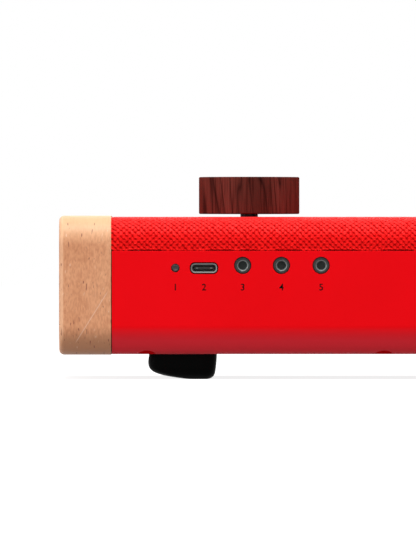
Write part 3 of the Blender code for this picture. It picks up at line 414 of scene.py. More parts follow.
def platedMetal(name, colour, roughness, drawnAlong=(0.08, 3, 0.08), metallic=1.0):
    # plated, cast or flashed metal: bright, with faint lines the way it was drawn, and dull where blasted
    material, tree, shader, place = startMaterial(name, colour, roughness, Metallic=metallic)
    lines = addNode(tree, "Mapping", inputs={"Vector": place, "Scale": perMm(*drawnAlong)})
    lines = addNode(tree, "TexNoise", inputs={"Vector": lines, "Scale": 1, "Detail": 2})
    gloss = addNode(tree, "MapRange", inputs={0: lines, 3: roughness - 0.08, 4: roughness + 0.1})
    bump = addNode(tree, "Bump", inputs={"Strength": 0.1, "Distance": 0.01 * mm, "Height": lines})
    wire(tree, shader, Roughness=gloss, Normal=bump)
    return material


def smokedLens():
    # smoked polycarbonate light guide: grey, slightly cloudy inside, glossy at the surface
    material, tree, shader, place = startMaterial(
        "smoked_lens", "3a3636", 0.3, Specular_IOR_Level=0.15, Coat_Weight=0.2, Coat_Roughness=0.15
    )
    haze = addNode(tree, "TexNoise", inputs={"Vector": place, "Scale": 1 / (0.8 * mm), "Detail": 2})
    tone = addNode(tree, "ValToRGB", {"stops": [(0.3, "2e2b2b"), (0.7, "403c3c")]}, {0: haze})
    # a painted highlight: what faces up on the edge is mixed towards a paler grey, as if lit from above
    facing = addNode(tree, "TexCoord", out="Normal")
    facing = addNode(tree, "SeparateXYZ", inputs={0: facing}, out="Z")
    paintedTopHighlight = addNode(tree, "MapRange", inputs={0: facing, 2: 0.5, 4: 0.85})
    tone = addNode(tree, "Mix", colourMix, {0: paintedTopHighlight, 6: tone, 7: toLinear("8a8688")}, out=2)
    wire(tree, shader, Base_Color=tone)
    return material


def solderMask():
    # glass-epoxy board under green solder mask, with copper runs showing a shade lighter through it
    material, tree, shader, place = startMaterial("solder_mask", "1f5a34", 0.35)
    layout = {"Vector": place, "Scale": 1 / (9 * mm), "Mortar Size": 0.08}
    runs = addNode(tree, "TexBrick", {"offset": 0.5}, layout, out=1)
    tone = addNode(tree, "Mix", colourMix, {0: runs, 6: toLinear("1c5230"), 7: toLinear("2c7444")}, out=2)
    wire(tree, shader, Base_Color=tone)
    return material


def shrinkWrap():
    # blue PVC shrink wrap: thin, glossy and slightly puckered
    material, tree, shader, place = startMaterial("shrink_wrap", "2b3f6b", 0.3)
    pucker = addNode(tree, "TexNoise", inputs={"Vector": place, "Scale": 1 / (9 * mm), "Detail": 3})
    tone = addNode(tree, "ValToRGB", {"stops": [(0.3, "263a64"), (0.7, "314878")]}, {0: pucker})
    bump = addNode(tree, "Bump", inputs={"Strength": 0.5, "Distance": 0.4 * mm, "Height": pucker})
    wire(tree, shader, Base_Color=tone, Normal=bump)
    return material


def paintedSteel(name, colour, roughness, specular):
    # pressed steel under satin black enamel: orange-peel ripple and a broad sheen
    material, tree, shader, place = startMaterial(name, colour, roughness, Specular_IOR_Level=specular)
    peel = addNode(tree, "TexNoise", inputs={"Vector": place, "Scale": 1 / (1.2 * mm), "Detail": 2})
    gloss = addNode(tree, "MapRange", inputs={0: peel, 3: roughness - 0.05, 4: roughness + 0.05})
    bump = addNode(tree, "Bump", inputs={"Strength": 0.2, "Distance": 0.03 * mm, "Height": peel})
    wire(tree, shader, Roughness=gloss, Normal=bump)
    return material


redAbs = mouldedPlastic("red_moulded_abs", "fa0311", "f6030f", 0.5, 0.5, specular=0.02, sheen=0.1)
# painted reflection: the casing's downward faces turn a milky pink, standing in for the pale floor they mirror
rubUnderside(redAbs, "f5303d")
deckAbs = mouldedPlastic("dark_moulded_abs", "2b1a1a", "261717", 0.6, 0.5, specular=0.2)
frameAbs = mouldedPlastic("grey_moulded_abs", "5a5a5c", "545456", 0.55, 0.5)
socketNylon = mouldedPlastic("socket_nylon", "434645", "3e4140", 0.4, 0.3, specular=0.1)
boreNylon = mouldedPlastic("bore_nylon", "7c8280", "767c7a", 0.5, 0.3, specular=0.1)
tongueNylon = mouldedPlastic("tongue_nylon", "4c4e4d", "484a49", 0.5, 0.3, specular=0.1)
liningNylon = mouldedPlastic("lining_nylon", "a2a8a6", "9ca2a0", 0.5, 0.3, specular=0.1)
printInk = mouldedPlastic("black_pad_print", "100c0c", "0c0909", 0.6, 0.4, specular=0.04)
whitePlastic = mouldedPlastic("white_key_acrylic", "e0ddd5", "dcd9d1", 0.26, 1.5, specular=0.3)
blackPlastic = mouldedPlastic("black_key_acrylic", "121214", "0f0f11", 0.38, 0.6, specular=0.2)
beech = oiledBeech()
rosewood = turnedRosewood()
clothFinish = wovenClothFinish()
rubber = mouldedRubber()
blastedNickel = platedMetal("blasted_nickel_plate", "7e8482", 0.42, metallic=0.25)
zinc = platedMetal("cast_zinc", "8d8f92", 0.45, (0.4, 0.4, 0.4))
gold = platedMetal("gold_flash", "8a7a52", 0.4)
blackSteel = paintedSteel("blackened_steel", "5c4e4e", 0.4, 0.4)
speakerSteel = paintedSteel("speaker_enamel", "1c1c1c", 0.45, 0.4)
lightGuide = smokedLens()
circuitBoard = solderMask()
batteryWrap = shrinkWrap()
print("materials ready:", len(bpy.data.materials))

# Camera: level and square to the rear face, so far off that no perspective shows
viewpoint = {"lens": 1000, "distance": 5.245, "acrossX": 226.5 * mm, "height": 34.7 * mm}
cameraData = bpy.data.cameras.new("photo_camera")
cameraData.lens = viewpoint["lens"]
cameraData.sensor_width = 36
cameraData.clip_start = 0.5
cameraData.clip_end = 200
camera = addObject("photo_camera", cameraData)
camera.location = (viewpoint["acrossX"], rear + viewpoint["distance"], viewpoint["height"])
camera.rotation_euler = (radians(90), 0, radians(180))
bpy.context.scene.camera = camera

# Lower casing
casing = {
    "corner": 10 * mm,
    "wall": 2.5 * mm,
    "frontWall": 21.4 * mm,
    "endWallStart": 68.1 * mm,
    "edge": 0.15 * mm,
    "arcSteps": 18,
    "postRadius": 4.5 * mm,
    "rearScrewX": (76.5 * mm, 166.5 * mm, 247.3 * mm),
    "rearScrewY": 101.75 * mm,
    "frontScrewX": (76.5 * mm, 166.5 * mm),
    "frontScrewY": -92 * mm,
    "recess": 3 * mm,
    "recessDepth": 12 * mm,
    "frontRecessDepth": 1.4 * mm,
    "screwHole": 1.6 * mm,
    "screwReach": 40 * mm,
    "holeGap": 0.06 * mm,
    "endGap": 0.28 * mm,
    "holeEdge": 0.1 * mm,
    "slotGap": 0.38 * mm,
}
beyond = 2 * mm  # how far a cutting tool reaches past what it cuts


def screwPlaces():
    rearOnes = [(side * x, casing["rearScrewY"]) for x in casing["rearScrewX"] for side in (-1, 1)]
    frontOnes = [(side * x, casing["frontScrewY"]) for x in casing["frontScrewX"] for side in (-1, 1)]
    return rearOnes, frontOnes


def socketCentre(node):
    low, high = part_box(node)
    return (low.x + high.x) / 2, high.y


def portCutters():
    # round holes with softened rims for the light and the jacks
    bm = bmesh.new()
    inside, rim = -3 * casing["wall"], casing["holeEdge"]
    for node, radius, height in socketHoles:
        hole = radius + casing["holeGap"]
        flare = arcPoints((hole + rim, -rim), rim, 180, 90, 4)
        profile = [(0, inside), (hole, inside), *flare, (hole + rim, beyond), (0, beyond)]
        lathe(bm, profile, (socketCentre(node)[0], rear, height), (0, 1, 0))
    return closeTurned(bm)


def roundBar(size, corner, yFrom, yTo):
    # a bar along the port's axis with a round-cornered section
    (x, z), (wide, high) = usbCentre, size
    bm = addBox(bmesh.new(), (x - wide / 2, yFrom, z - high / 2), (x + wide / 2, yTo, z + high / 2))
    roundEdges(bm, [e for e in bm.edges if span(e, 1) > 0.5 * abs(yTo - yFrom)], corner, 8)
    return bm


usb = {
    "width": 8.94 * mm,
    "height": 3.26 * mm,
    "corner": 1.35 * mm,
    "shell": 0.34 * mm,
    "setBack": 0.3 * mm,
    "rim": 0.06 * mm,
    "flare": 0.16 * mm,
    "backWall": 1.2 * mm,
    "liningWall": 0.12 * mm,
    "liningSetBack": 0.35 * mm,
    "liningGap": 0.02 * mm,
    "tongueReach": 3.3 * mm,
    "tongueHalf": 0.35 * mm,
    "tongueSetBack": 0.9 * mm,
    "contact": 0.24 * mm,
    "contactPitch": 0.5 * mm,
    "contactCount": 12,
    "latchAt": 2.45 * mm,
    "latchLength": 2 * mm,
}
jack = {
    "outer": 2.88 * mm,
    "face": 2.66 * mm,
    "throat": 1.93 * mm,
    "lip": 1.5 * mm,
    "bore": 1.75 * mm,
    "depth": 5 * mm,
    "boreDepth": 4.6 * mm,
    "housingSetBack": 5.1 * mm,
    "belowSeam": 4.95 * mm,
}
chargeLens = {"radius": 1.42 * mm, "edge": 0.5 * mm, "dish": 0.04 * mm}
jackNodes = ("headphone_jack", "sustain_jack", "octave_jack")
ledLow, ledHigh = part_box("charge_light")
usbLow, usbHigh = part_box("usb_c_port")
usbCentre = ((usbLow.x + usbHigh.x) / 2, (usbLow.z + usbHigh.z) / 2)
jackHeight = seam - jack["belowSeam"]
ledHeight = (ledLow.z + ledHigh.z) / 2
socketHoles = [("charge_light", chargeLens["radius"], ledHeight)]
socketHoles += [(node, jack["outer"], jackHeight) for node in jackNodes]


def well(low, high, footY):
    # a hollow with an open top, its foot rounded along the outer wall
    bm = addBox(bmesh.new(), low, high)
    foot = edgesWhere(bm, lambda co: near(co.z, low[2]) and near(co.y, footY))
    roundEdges(bm, foot, casing["corner"] - casing["wall"], casing["arcSteps"])
    return bm


def screwPosts(floor, top):
    # the posts that the rear screws go up into
    bm = bmesh.new()
    r, foot = casing["postRadius"], floor - 0.1 * mm
    for x, y in screwPlaces()[0]:
        lathe(bm, [(0, 0), (r, 0), (r, top - foot), (0, top - foot)], (x, y, foot), (0, 0, 1), 32)
    return closeTurned(bm)


def screwRecesses(bottom):
    # stepped holes: a recess for the head, then a hole for the thread
    bm = bmesh.new()
    r, hole, end = casing["recess"], casing["screwHole"], casing["screwReach"]
    for places, depth in zip(screwPlaces(), (casing["recessDepth"], casing["frontRecessDepth"])):
        profile = [(0, -beyond), (r, -beyond), (r, depth), (hole, depth), (hole, end), (0, end)]
        for x, y in places:
            lathe(bm, profile, (x, y, bottom), (0, 0, 1), 48)
    return closeTurned(bm)


def lowerCasing():
    low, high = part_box("lower_casing")
    wall, floor, over = casing["wall"], low.z + casing["wall"], high.z + beyond
    end = halfCase - casing["endGap"]
    bm = addBox(bmesh.new(), (-end, low.y, low.z), (end, high.y, high.z))
    lengthwise = [e for e in edgesWhere(bm, lambda co: near(co.z, low.z)) if span(e, 0) > halfCase]
    roundEdges(bm, lengthwise, casing["corner"], casing["arcSteps"])
    roundEdges(bm, edgesWhere(bm, lambda co: near(co.z, high.z) and near(co.y, rear)), casing["edge"], 3)
    endWall = casing["endWallStart"]
    keyWell = well((low.x - beyond, front + wall, floor), (high.x + beyond, endWall, over), front + wall)
    rearWell = well((low.x + wall, endWall - beyond, floor), (high.x - wall, rear - wall, over), rear - wall)
    frontStart = (low.x - beyond, front - beyond, low.z + casing["frontWall"])
    openFront = addBox(bmesh.new(), frontStart, (high.x + beyond, front + 2 * wall, over))
    gap = casing["slotGap"]
    slotSize = (usb["width"] + 2 * gap, usb["height"] + 2 * gap)
    slot = roundBar(slotSize, usb["corner"] + gap, rear - 3 * wall, rear + beyond)
    steps = [("DIFFERENCE", keyWell), ("DIFFERENCE", rearWell), ("DIFFERENCE", openFront)]
    steps += [("UNION", screwPosts(floor, high.z)), ("DIFFERENCE", screwRecesses(low.z))]
    steps += [("DIFFERENCE", portCutters()), ("DIFFERENCE", slot)]
    newPiece("casing_shell", carve(bm, steps), redAbs, replaced=["lower_casing"], flatFaces=True)


lowerCasing()
print("lower casing done")

# Grille cloth: one stretched sheet whose lumps of thread are modelled, tucked in at the seam and at the hem
weave = {
    "lump": 2.0 * mm,
    "row": 2.14 * mm,
    "relief": 0.42 * mm,
    "dipHeight": 0.15,
    "uneven": 0.35,
    "wander": 0.3 * mm,
    "cornerRear": 10 * mm,
    "cornerFront": 6 * mm,
    "tuck": 0.4 * mm,
    "deckFront": 38 * mm,
    "hem": 46 * mm,
    "endGap": 0.34 * mm,
    "endRound": 0.35 * mm,
    "knobHole": 4.7 * mm,
    "seamGap": 0.34 * mm,
    "wallGap": 0.12 * mm,
    "flap": 1.3 * mm,
}
# where the cloth stands off the casing, as distances from the case's right end in millimetres
seamOpenings = [(5.7, 18.3), (32.6, 42.2), (43.6, 50.4), (55.5, 65.1), (71.9, 84.5), (92, 103), (110, 117)]
seamRepeat, seamRamp = 121, 0.8  # also in millimetres


def clothPath():
    # the cloth's outer surface in section, from the rear tuck over the top to the front hem
    tuck, back, fore = weave["tuck"], weave["cornerRear"], weave["cornerFront"]
    bottom = seam + 0.02 * mm
    inside = rear - casing["wall"] - weave["wallGap"]
    rearTuck = [(inside, seam - weave["flap"]), (inside, seam - 0.1 * mm), (inside + 0.25 * mm, bottom)]
    rearTuck += arcPoints((rear - tuck, bottom + tuck), tuck, -90, 0, 3)
    shown = [rearTuck[-1], *arcPoints((rear - back, clothTop - back), back, 0, 90, 24)]
    shown += arcPoints((weave["deckFront"] + fore, clothTop - fore), fore, 90, 180, 18)
    frontTuck = arcPoints((weave["deckFront"] + tuck, weave["hem"] + tuck), tuck, 180, 270, 3)
    frontTuck += [(weave["deckFront"] + 2 * tuck, weave["hem"])]
    shown += [frontTuck[0]]
    return [[Vector(point) for point in part] for part in (rearTuck, shown, frontTuck)]


def evenSteps(path, count):
    # count + 1 even steps along the path, each with its distance, its place and its outward direction
    lengths = [(b - a).length for a, b in zip(path, path[1:])]
    stations = []
    leg, done = 0, 0.0
    for step in range(count + 1):
        target = sum(lengths) * step / count
        while leg < len(lengths) - 1 and done + lengths[leg] < target:
            done += lengths[leg]
            leg += 1
        share = (target - done) / lengths[leg]
        heading = (path[leg + 1] - path[leg]).normalized()
        stations.append((target, path[leg].lerp(path[leg + 1], share), Vector((heading.y, -heading.x))))
    return stations


def distancesAlong(path):
    return [sum((b - a).length for a, b in zip(path[:end], path[1:end + 1])) for end in range(len(path))]


def clothStations():
    # the rows of the mesh: the tucks' own corners, and half rows of thread in between
    rearTuck, shown, frontTuck = clothPath()
    rows = round(distancesAlong(shown)[-1] / weave["row"])
    middle = evenSteps(shown, 2 * rows)
    down, inward = Vector((0, -1)), Vector((1, 0))
    under, last = distancesAlong(rearTuck), middle[-1][0]
    stations = [(distance - under[-1], point, down) for distance, point in zip(under[:-1], rearTuck)]
    hem = zip(distancesAlong(frontTuck), frontTuck)
    stations += middle + [(last + distance, point, inward) for distance, point in hem][1:]
    first = len(rearTuck) - 1
    return stations, first, first + 2 * rows, last / rows


def seamOpen(x):
    # how far the seam stands open at x, from 0 to 1
    fromEnd = ((halfCase - x) / mm) % seamRepeat
    ramps = [(fromEnd - start, end - fromEnd) for start, end in seamOpenings]
    return max(min(1, opening / seamRamp, closing / seamRamp) for opening, closing in ramps)


def cutKnobHole(bm):
    # a round opening for the knob's shaft, under the knob
    knobLow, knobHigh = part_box("volume_knob")
    axis = (knobLow + knobHigh) / 2
    under = [f for f in bm.faces if f.calc_center_median().z > clothTop - mm]
    hole = [f for f in under if (f.calc_center_median() - axis).xy.length < weave["knobHole"]]
    bmesh.ops.delete(bm, geom=hole, context="FACES")
    for vert in bm.verts:
        offset = (vert.co - axis).xy
        if vert.is_boundary and offset.length < 2 * weave["knobHole"]:
            vert.co.xy = axis.xy + offset.normalized() * weave["knobHole"]


def grilleCloth():
    stations, first, last, rowPitch = clothStations()
    steps = len(stations) - 1
    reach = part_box("right_cheek")[0].x - weave["endGap"]
    lumps = round(2 * reach / weave["lump"])
    bm = bmesh.new()
    bmesh.ops.create_grid(bm, x_segments=2 * lumps, y_segments=steps, size=0.5)
    uvLayer = bm.loops.layers.uv.new("threads")
    places = {}
    for vert in bm.verts:
        column = round((vert.co.x + 0.5) * 2 * lumps)
        line = round((vert.co.y + 0.5) * steps)
        x = -reach + 2 * reach * column / (2 * lumps)
        distance, spot, outward = stations[line]
        seed = Vector((column * 0.37, line * 0.41, 0))
        onShow = 1 if first <= line <= last else 0
        height = 1.0 if (column + line - first) % 2 else weave["dipHeight"]
        height += weave["uneven"] * noise.noise(seed)
        depth = weave["relief"] * (1 - min(1, height)) * onShow
        endDistance = reach - abs(x)
        if endDistance < weave["endRound"]:
            fall = weave["endRound"] - endDistance
            depth += weave["endRound"] - (weave["endRound"] ** 2 - fall**2) ** 0.5
        stray = weave["wander"] * noise.noise(seed * 1.3 + Vector((0, 7, 0)))
        along = Vector((-outward.y, outward.x)) * stray
        y, z = spot - outward * depth + along * (1 if first < line < last else 0)
        if 0 < column < 2 * lumps:
            x += weave["wander"] * onShow * noise.noise(seed * 1.3 + Vector((9, 0, 0)))
        if first - 3 <= line <= first + 1:
            z += weave["seamGap"] * max(0, seamOpen(x)) * (0.5 if line > first else 1)
        places[vert] = (column / 2, distance / rowPitch)
        vert.co = (x, y, z)
    for face in bm.faces:
        for loop in face.loops:
            loop[uvLayer].uv = places[loop.vert]
    cutKnobHole(bm)
    sheet = newPiece(
        "grille_cloth_weave", bm, clothFinish, replaced=["grille_cloth"], sharpDeg=180
    )


grilleCloth()
print("grille cloth done")

# Wooden cheeks
cheek = {
    "corner": 10 * mm,
    "edge": 1.7 * mm,
    "innerEdge": 0.12 * mm,
    "cornerSteps": 20,
    "joint": -0.02 * mm,
    "gasket": 0.28 * mm,
    "gasketGap": 0.02 * mm,
    "gasketSetBack": 1.2 * mm,
    "gasketFront": 45 * mm,
}


def woodenCheek(node, side):
    low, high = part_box(node)
    inner, outer = side * (halfCase + cheek["joint"]), side * max(abs(low.x), abs(high.x))
    bm = addBox(bmesh.new(), (min(inner, outer), low.y, low.z), (max(inner, outer), high.y, high.z))
    roundEdges(bm, [e for e in bm.edges if span(e, 0) > mm], cheek["corner"], cheek["cornerSteps"])
    roundEdges(bm, edgesWhere(bm, lambda co: near(co.x, outer)), cheek["edge"], 6)
    roundEdges(bm, edgesWhere(bm, lambda co: near(co.x, inner)), cheek["innerEdge"], 2)
    newPiece(node + "_board", bm, beech, replaced=[node], flatFaces=True)
    # a thin black gasket closes the joint between the cheek and the case
    setBack = cheek["gasketSetBack"]
    end, face = inner - side * cheek["gasket"], inner - side * cheek["gasketGap"]
    frontEnd = (min(end, face), cheek["gasketFront"], low.z + setBack)
    bm = addBox(bmesh.new(), frontEnd, (max(end, face), high.y - setBack, high.z - setBack))
    atRear = edgesWhere(bm, lambda co: co.y > cheek["gasketFront"] + mm)
    across = [e for e in atRear if span(e, 0) > 0.1 * mm]
    roundEdges(bm, across, cheek["corner"] - setBack, cheek["cornerSteps"])
    newPiece(node + "_gasket", bm, rubber)


woodenCheek("left_cheek", -1)
woodenCheek("right_cheek", 1)
print("cheeks done")

# Knob and shaft
knob = {"edge": 0.45 * mm, "bore": 3.3 * mm, "boreDepth": 9 * mm}


def volumeKnob():
    low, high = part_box("volume_knob")
    middle = (low + high) / 2
    radius, height = (high.x - low.x) / 2, high.z - low.z
    edge = knob["edge"]
    profile = [(0, height), (0.5 * radius, height)]
    profile += arcPoints((radius - edge, height - edge), edge, 90, 0, 6)
    profile += arcPoints((radius - edge, edge), edge, 0, -90, 6)
    profile += [(knob["bore"], 0), (knob["bore"], knob["boreDepth"]), (0, knob["boreDepth"])]
    bm = turned(profile, (middle.x, middle.y, low.z), (0, 0, 1), 128)
    newPiece("turned_knob", bm, rosewood, "knob", ["volume_knob"])

    low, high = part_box("knob_shaft")
    radius, height = (high.x - low.x) / 2, high.z - low.z
    profile = [(0, height), (radius - edge, height), (radius, height - edge), (radius, 0), (0, 0)]
    bm = turned(profile, (middle.x, middle.y, low.z), (0, 0, 1), 48)
    newPiece("turned_shaft", bm, blackSteel, "knob", ["knob_shaft"])


volumeKnob()
print("knob done")

# Sockets and light in the rear wall


def jackSocket(node):
    low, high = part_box(node)
    x, face = socketCentre(node)
    centre, inside = (x, face, jackHeight), -jack["depth"]
    bm = addBox(bmesh.new(), low, (high.x, face - jack["housingSetBack"], high.z))
    roundEdges(bm, bm.edges, 0.3 * mm, 2)
    newPiece(node + "_housing", bm, socketNylon, replaced=[node])
    outer, collarFace, throat = jack["outer"], jack["face"], jack["throat"]
    profile = [(outer, inside), (outer, -0.7 * mm), (collarFace + 0.12 * mm, -0.2 * mm)]
    profile += [(collarFace, -0.06 * mm), (collarFace - 0.15 * mm, 0), (throat + 0.1 * mm, 0)]
    profile += [(throat, -0.08 * mm), (throat, inside)]
    bm = turned(profile + [profile[0]], centre, (0, 1, 0))
    newPiece(node + "_collar", bm, socketNylon)
    rim, lip, bore = throat - 0.02 * mm, jack["lip"], jack["bore"]
    profile = [(rim, inside), (rim, -0.12 * mm), (rim - 0.05 * mm, -0.1 * mm), (lip + 0.04 * mm, -0.4 * mm)]
    profile += [(lip, -0.5 * mm), (lip, -2 * mm), (bore, -2.1 * mm), (bore, inside)]
    bm = turned(profile + [profile[0]], centre, (0, 1, 0))
    newPiece(node + "_sleeve", bm, blastedNickel)
    boreEnd = -jack["boreDepth"]
    bm = turned([(0, boreEnd), (bore - 0.02 * mm, boreEnd)], centre, (0, 1, 0), 32)
    bmesh.ops.solidify(bm, geom=bm.faces[:], thickness=0.3 * mm)
    newPiece(node + "_bore_end", bm, boreNylon)


for jackNode in jackNodes:
    jackSocket(jackNode)


def hollowBar(size, corner, yFrom, yTo, wall, depth, flare=0):
    # a round-cornered bar hollowed from its outer end, with the mouth's inner edge set back by the flare
    bm = roundBar(size, corner, yFrom, yTo)
    mouth = [f for f in bm.faces if f.normal.y > 0.9]
    bmesh.ops.inset_region(bm, faces=mouth, thickness=wall, use_even_offset=True)
    lip = {vert for f in mouth for vert in f.verts}
    bmesh.ops.translate(bm, verts=list(lip), vec=(0, -flare, 0))
    pushFaces(bm, mouth, (0, flare - depth, 0))
    bmesh.ops.recalc_face_normals(bm, faces=bm.faces)
    return bm


def usbPort():
    (x, z), back = usbCentre, usbLow.y
    face = usbHigh.y - usb["setBack"]
    size, wall = (usb["width"], usb["height"]), usb["shell"]
    depth = face - back - usb["backWall"]
    bm = hollowBar(size, usb["corner"], back, face, wall, depth, usb["flare"])
    roundEdges(bm, edgesWhere(bm, lambda co: near(co.y, face)), usb["rim"], 3)
    newPiece("usb_shell", bm, blastedNickel, replaced=["usb_c_port"])
    gap = usb["liningGap"]
    lining = [side - 2 * wall - gap for side in size]
    start, end = back + usb["backWall"] + gap, face - usb["liningSetBack"]
    bm = hollowBar(lining, usb["corner"] - wall, start, end, usb["liningWall"], face - back - 2 * mm)
    newPiece("usb_lining", bm, liningNylon)
    reach, half, tip = usb["tongueReach"], usb["tongueHalf"], face - usb["tongueSetBack"]
    bm = addBox(bmesh.new(), (x - reach, back + 1.5 * mm, z - half), (x + reach, tip, z + half))
    roundEdges(bm, bm.edges, 0.12 * mm, 2)
    newPiece("usb_tongue", bm, tongueNylon)
    bm = bmesh.new()
    for number in range(usb["contactCount"]):
        padX = x + (number - (usb["contactCount"] - 1) / 2) * usb["contactPitch"]
        for side in (-1, 1):
            low, high = sorted((z + side * (half - 0.05 * mm), z + side * (half + 0.02 * mm)))
            width = usb["contact"] / 2
            addBox(bm, (padX - width, back + 2.4 * mm, low), (padX + width, tip - 0.6 * mm, high))
    newPiece("usb_contacts", bm, gold)
    bm = bmesh.new()
    for side in (-1, 1):
        latchX, thick, proud = x + side * usb["latchAt"], 0.16 * mm, tip + 0.08 * mm
        inner = (latchX - 0.3 * mm, tip - usb["latchLength"], z - thick)
        addBox(bm, inner, (latchX + 0.3 * mm, proud, z + thick))
    roundEdges(bm, bm.edges, 0.05 * mm, 2)
    newPiece("usb_latch_tips", bm, blastedNickel)


usbPort()


def chargeLight():
    x, face = socketCentre("charge_light")
    radius, edge, dish = chargeLens["radius"], chargeLens["edge"], chargeLens["dish"]
    profile = [(0, -dish), (0.5 * radius, -dish), (0.57 * radius, 0)]
    profile += arcPoints((radius - edge, -edge), edge, 90, 0, 8)
    profile += [(radius, ledLow.y - face), (0, ledLow.y - face)]
    bm = turned(profile, (x, face, ledHeight), (0, 1, 0))
    newPiece("charge_lens", bm, lightGuide, replaced=["charge_light"])


chargeLight()
print("sockets done")

# Plain numbers under the light and the sockets
numbers = {"height": 31.3 * mm, "size": 3.2 * mm, "thickness": 0.02 * mm, "stroke": 0.03 * mm}


def socketNumbers():
    places = [socketCentre("charge_light")[0], usbCentre[0]]
    places += [socketCentre(node)[0] for node in jackNodes]
    facingRear = Matrix(((-1, 0, 0, 0), (0, 0, 1, 0), (0, 1, 0, 0), (0, 0, 0, 1)))
    for number, x in enumerate(places, 1):
        curve = bpy.data.curves.new("number", "FONT")
        curve.body = str(number)
        curve.size = numbers["size"]
        curve.align_x = "CENTER"
        curve.align_y = "CENTER"
        curve.extrude = numbers["thickness"] / 2
        curve.offset = numbers["stroke"]
        text = addObject("number", curve)
        graph = bpy.context.evaluated_depsgraph_get()
        bm = bmesh.new()
        bm.from_mesh(bpy.data.meshes.new_from_object(text.evaluated_get(graph)))
        bpy.data.objects.remove(text)
        bmesh.ops.remove_doubles(bm, verts=bm.verts, dist=0.001 * mm)
        lift = Matrix.Translation((x, rear + numbers["thickness"] / 2, numbers["height"]))
        bmesh.ops.transform(bm, matrix=lift @ facingRear, verts=bm.verts)
        newPiece(f"socket_number_{number}", bm, printInk)


socketNumbers()
print("numbers done")

# Rubber feet
foot = {
    "corner": 4.5 * mm,
    # height, reach towards the end, reach towards the middle and half depth, in millimetres
    "outline": [
        (8.1, 11.6, 11.6, 10),
        (6.2, 11.95, 11.5, 9.9),
        (4.6, 11.85, 11.35, 9.75),
        (3.4, 11.25, 11.2, 9.5),
        (2.5, 10.2, 11.05, 9.1),
        (1.8, 8.5, 10.9, 8.6),
        (1.2, 6.2, 10.6, 8.0),
        (0.7, 3.4, 10.1, 7.3),
        (0.3, 0.6, 9.5, 6.7),
        (0.06, -1.6, 8.6, 6.2),
    ],
    "sole": (-2.6, 7.8, 5.8),
}


def rubberFoot(node, side):
    low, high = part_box(node)
    middle, half = (low + high) / 2, (high - low) / 2
    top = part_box("lower_casing")[0].z - 0.02 * mm
    bm = addBox(bmesh.new(), low, (high.x, high.y, top))
    for height, *_ in foot["outline"]:
        splitAt(bm, (0, 0, height * mm), (0, 0, 1))
    roundEdges(bm, [e for e in bm.edges if span(e, 2) > 0.01 * mm], foot["corner"], 5)
    levels = [(0, *foot["sole"]), *reversed(foot["outline"])]
    for vert in bm.verts:
        _, outward, inward, deep = min(levels, key=lambda level: abs(level[0] * mm - vert.co.z))
        across = side * (vert.co.x - middle.x) / half.x
        middleShift, wide = (outward - inward) / 2, (outward + inward) / 2
        vert.co.x = middle.x + side * (middleShift + across * wide) * mm
        vert.co.y = middle.y + (vert.co.y - middle.y) * deep * mm / half.y
    creases = bm.edges.layers.float.new("crease_edge")
    for edge in edgesWhere(bm, lambda co: near(co.z, top)):
        edge[creases] = 1
    piece = newPiece(node + "_pad", bm, rubber, replaced=[node], sharpDeg=60)
    smoothing = piece.modifiers.new("smoothing", "SUBSURF")
    smoothing.levels = 1
    smoothing.render_levels = 1


for endName in ("front", "rear"):
    for sideName, sideSign in (("left", -1), ("right", 1)):
        rubberFoot(f"foot_{endName}_{sideName}", sideSign)
print("feet done")

# Case screws, seen from below
screw = {
    "head": 2.6 * mm,
    "headHeight": 1.1 * mm,
    "slot": 0.7 * mm,
    "slotReach": 1.5 * mm,
    "slotDepth": 0.8 * mm,
}


def caseScrews():
    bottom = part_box("lower_casing")[0].z
    depths = (casing["recessDepth"], casing["frontRecessDepth"])
    seats = [(x, y, bottom + depth) for places, depth in zip(screwPlaces(), depths) for x, y in places]
    head, face = screw["head"], -screw["headHeight"]
    heads, lengthSlots, crossSlots = bmesh.new(), bmesh.new(), bmesh.new()
    for x, y, z in seats:
        seat = z - 0.05 * mm
        profile = [(0, face), (0.6 * head, face), (0.9 * head, face + 0.2 * mm), (head, face + 0.5 * mm)]
        lathe(heads, profile + [(head, 0), (0, 0)], (x, y, seat), (0, 0, 1), 32)
        reach, half = screw["slotReach"], screw["slot"] / 2
        low, high = seat + face - mm, seat + face + screw["slotDepth"]
        addBox(lengthSlots, (x - reach, y - half, low), (x + reach, y + half, high))
        addBox(crossSlots, (x - half, y - reach, low), (x + half, y + reach, high))
    closeTurned(heads)
    carved = carve(heads, [("DIFFERENCE", lengthSlots), ("DIFFERENCE", crossSlots)])
    newPiece("case_screws", carved, blackSteel)


caseScrews()
print("screws done")

# Keys
key = {
    "headEnd": -56 * mm,
    "visibleEnd": 36 * mm,
    "frontEdge": 1.5 * mm,
    "edge": 0.45 * mm,
    "wall": 1.5 * mm,
    "skin": 2.5 * mm,
    "blackFoot": 1.2 * mm,
    "blackTop": 9.8 * mm,
    "blackSlope": 6 * mm,
    "blackEdge": 1.4 * mm,
    "pivot": (60 * mm, 30 * mm),
    "railRoom": 3.3 * mm,
    "webRoom": 1.7 * mm,
}
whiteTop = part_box("key_c_4")[1].z
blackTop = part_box("key_c_sharp_4")[1].z


def tailSides(node):
    # the left and right side of a key behind the black keys' fronts
    xs = [v.co.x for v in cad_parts[node].data.vertices if v.co.y > key["headEnd"] + mm]
    return min(xs), max(xs)


def railRoom(low, high):
    # the keyhole that a key keeps round the pivot rail and its web
    y, z = key["pivot"]
    left, right, r = low.x - mm, high.x + mm, key["railRoom"]
    rail = turned([(0, left), (r, left), (r, right), (0, right)], (0, y, z), (1, 0, 0), 40)
    web = addBox(bmesh.new(), (left, y - key["webRoom"], low.z - mm), (right, y + key["webRoom"], z))
    return [("DIFFERENCE", rail), ("DIFFERENCE", web)]


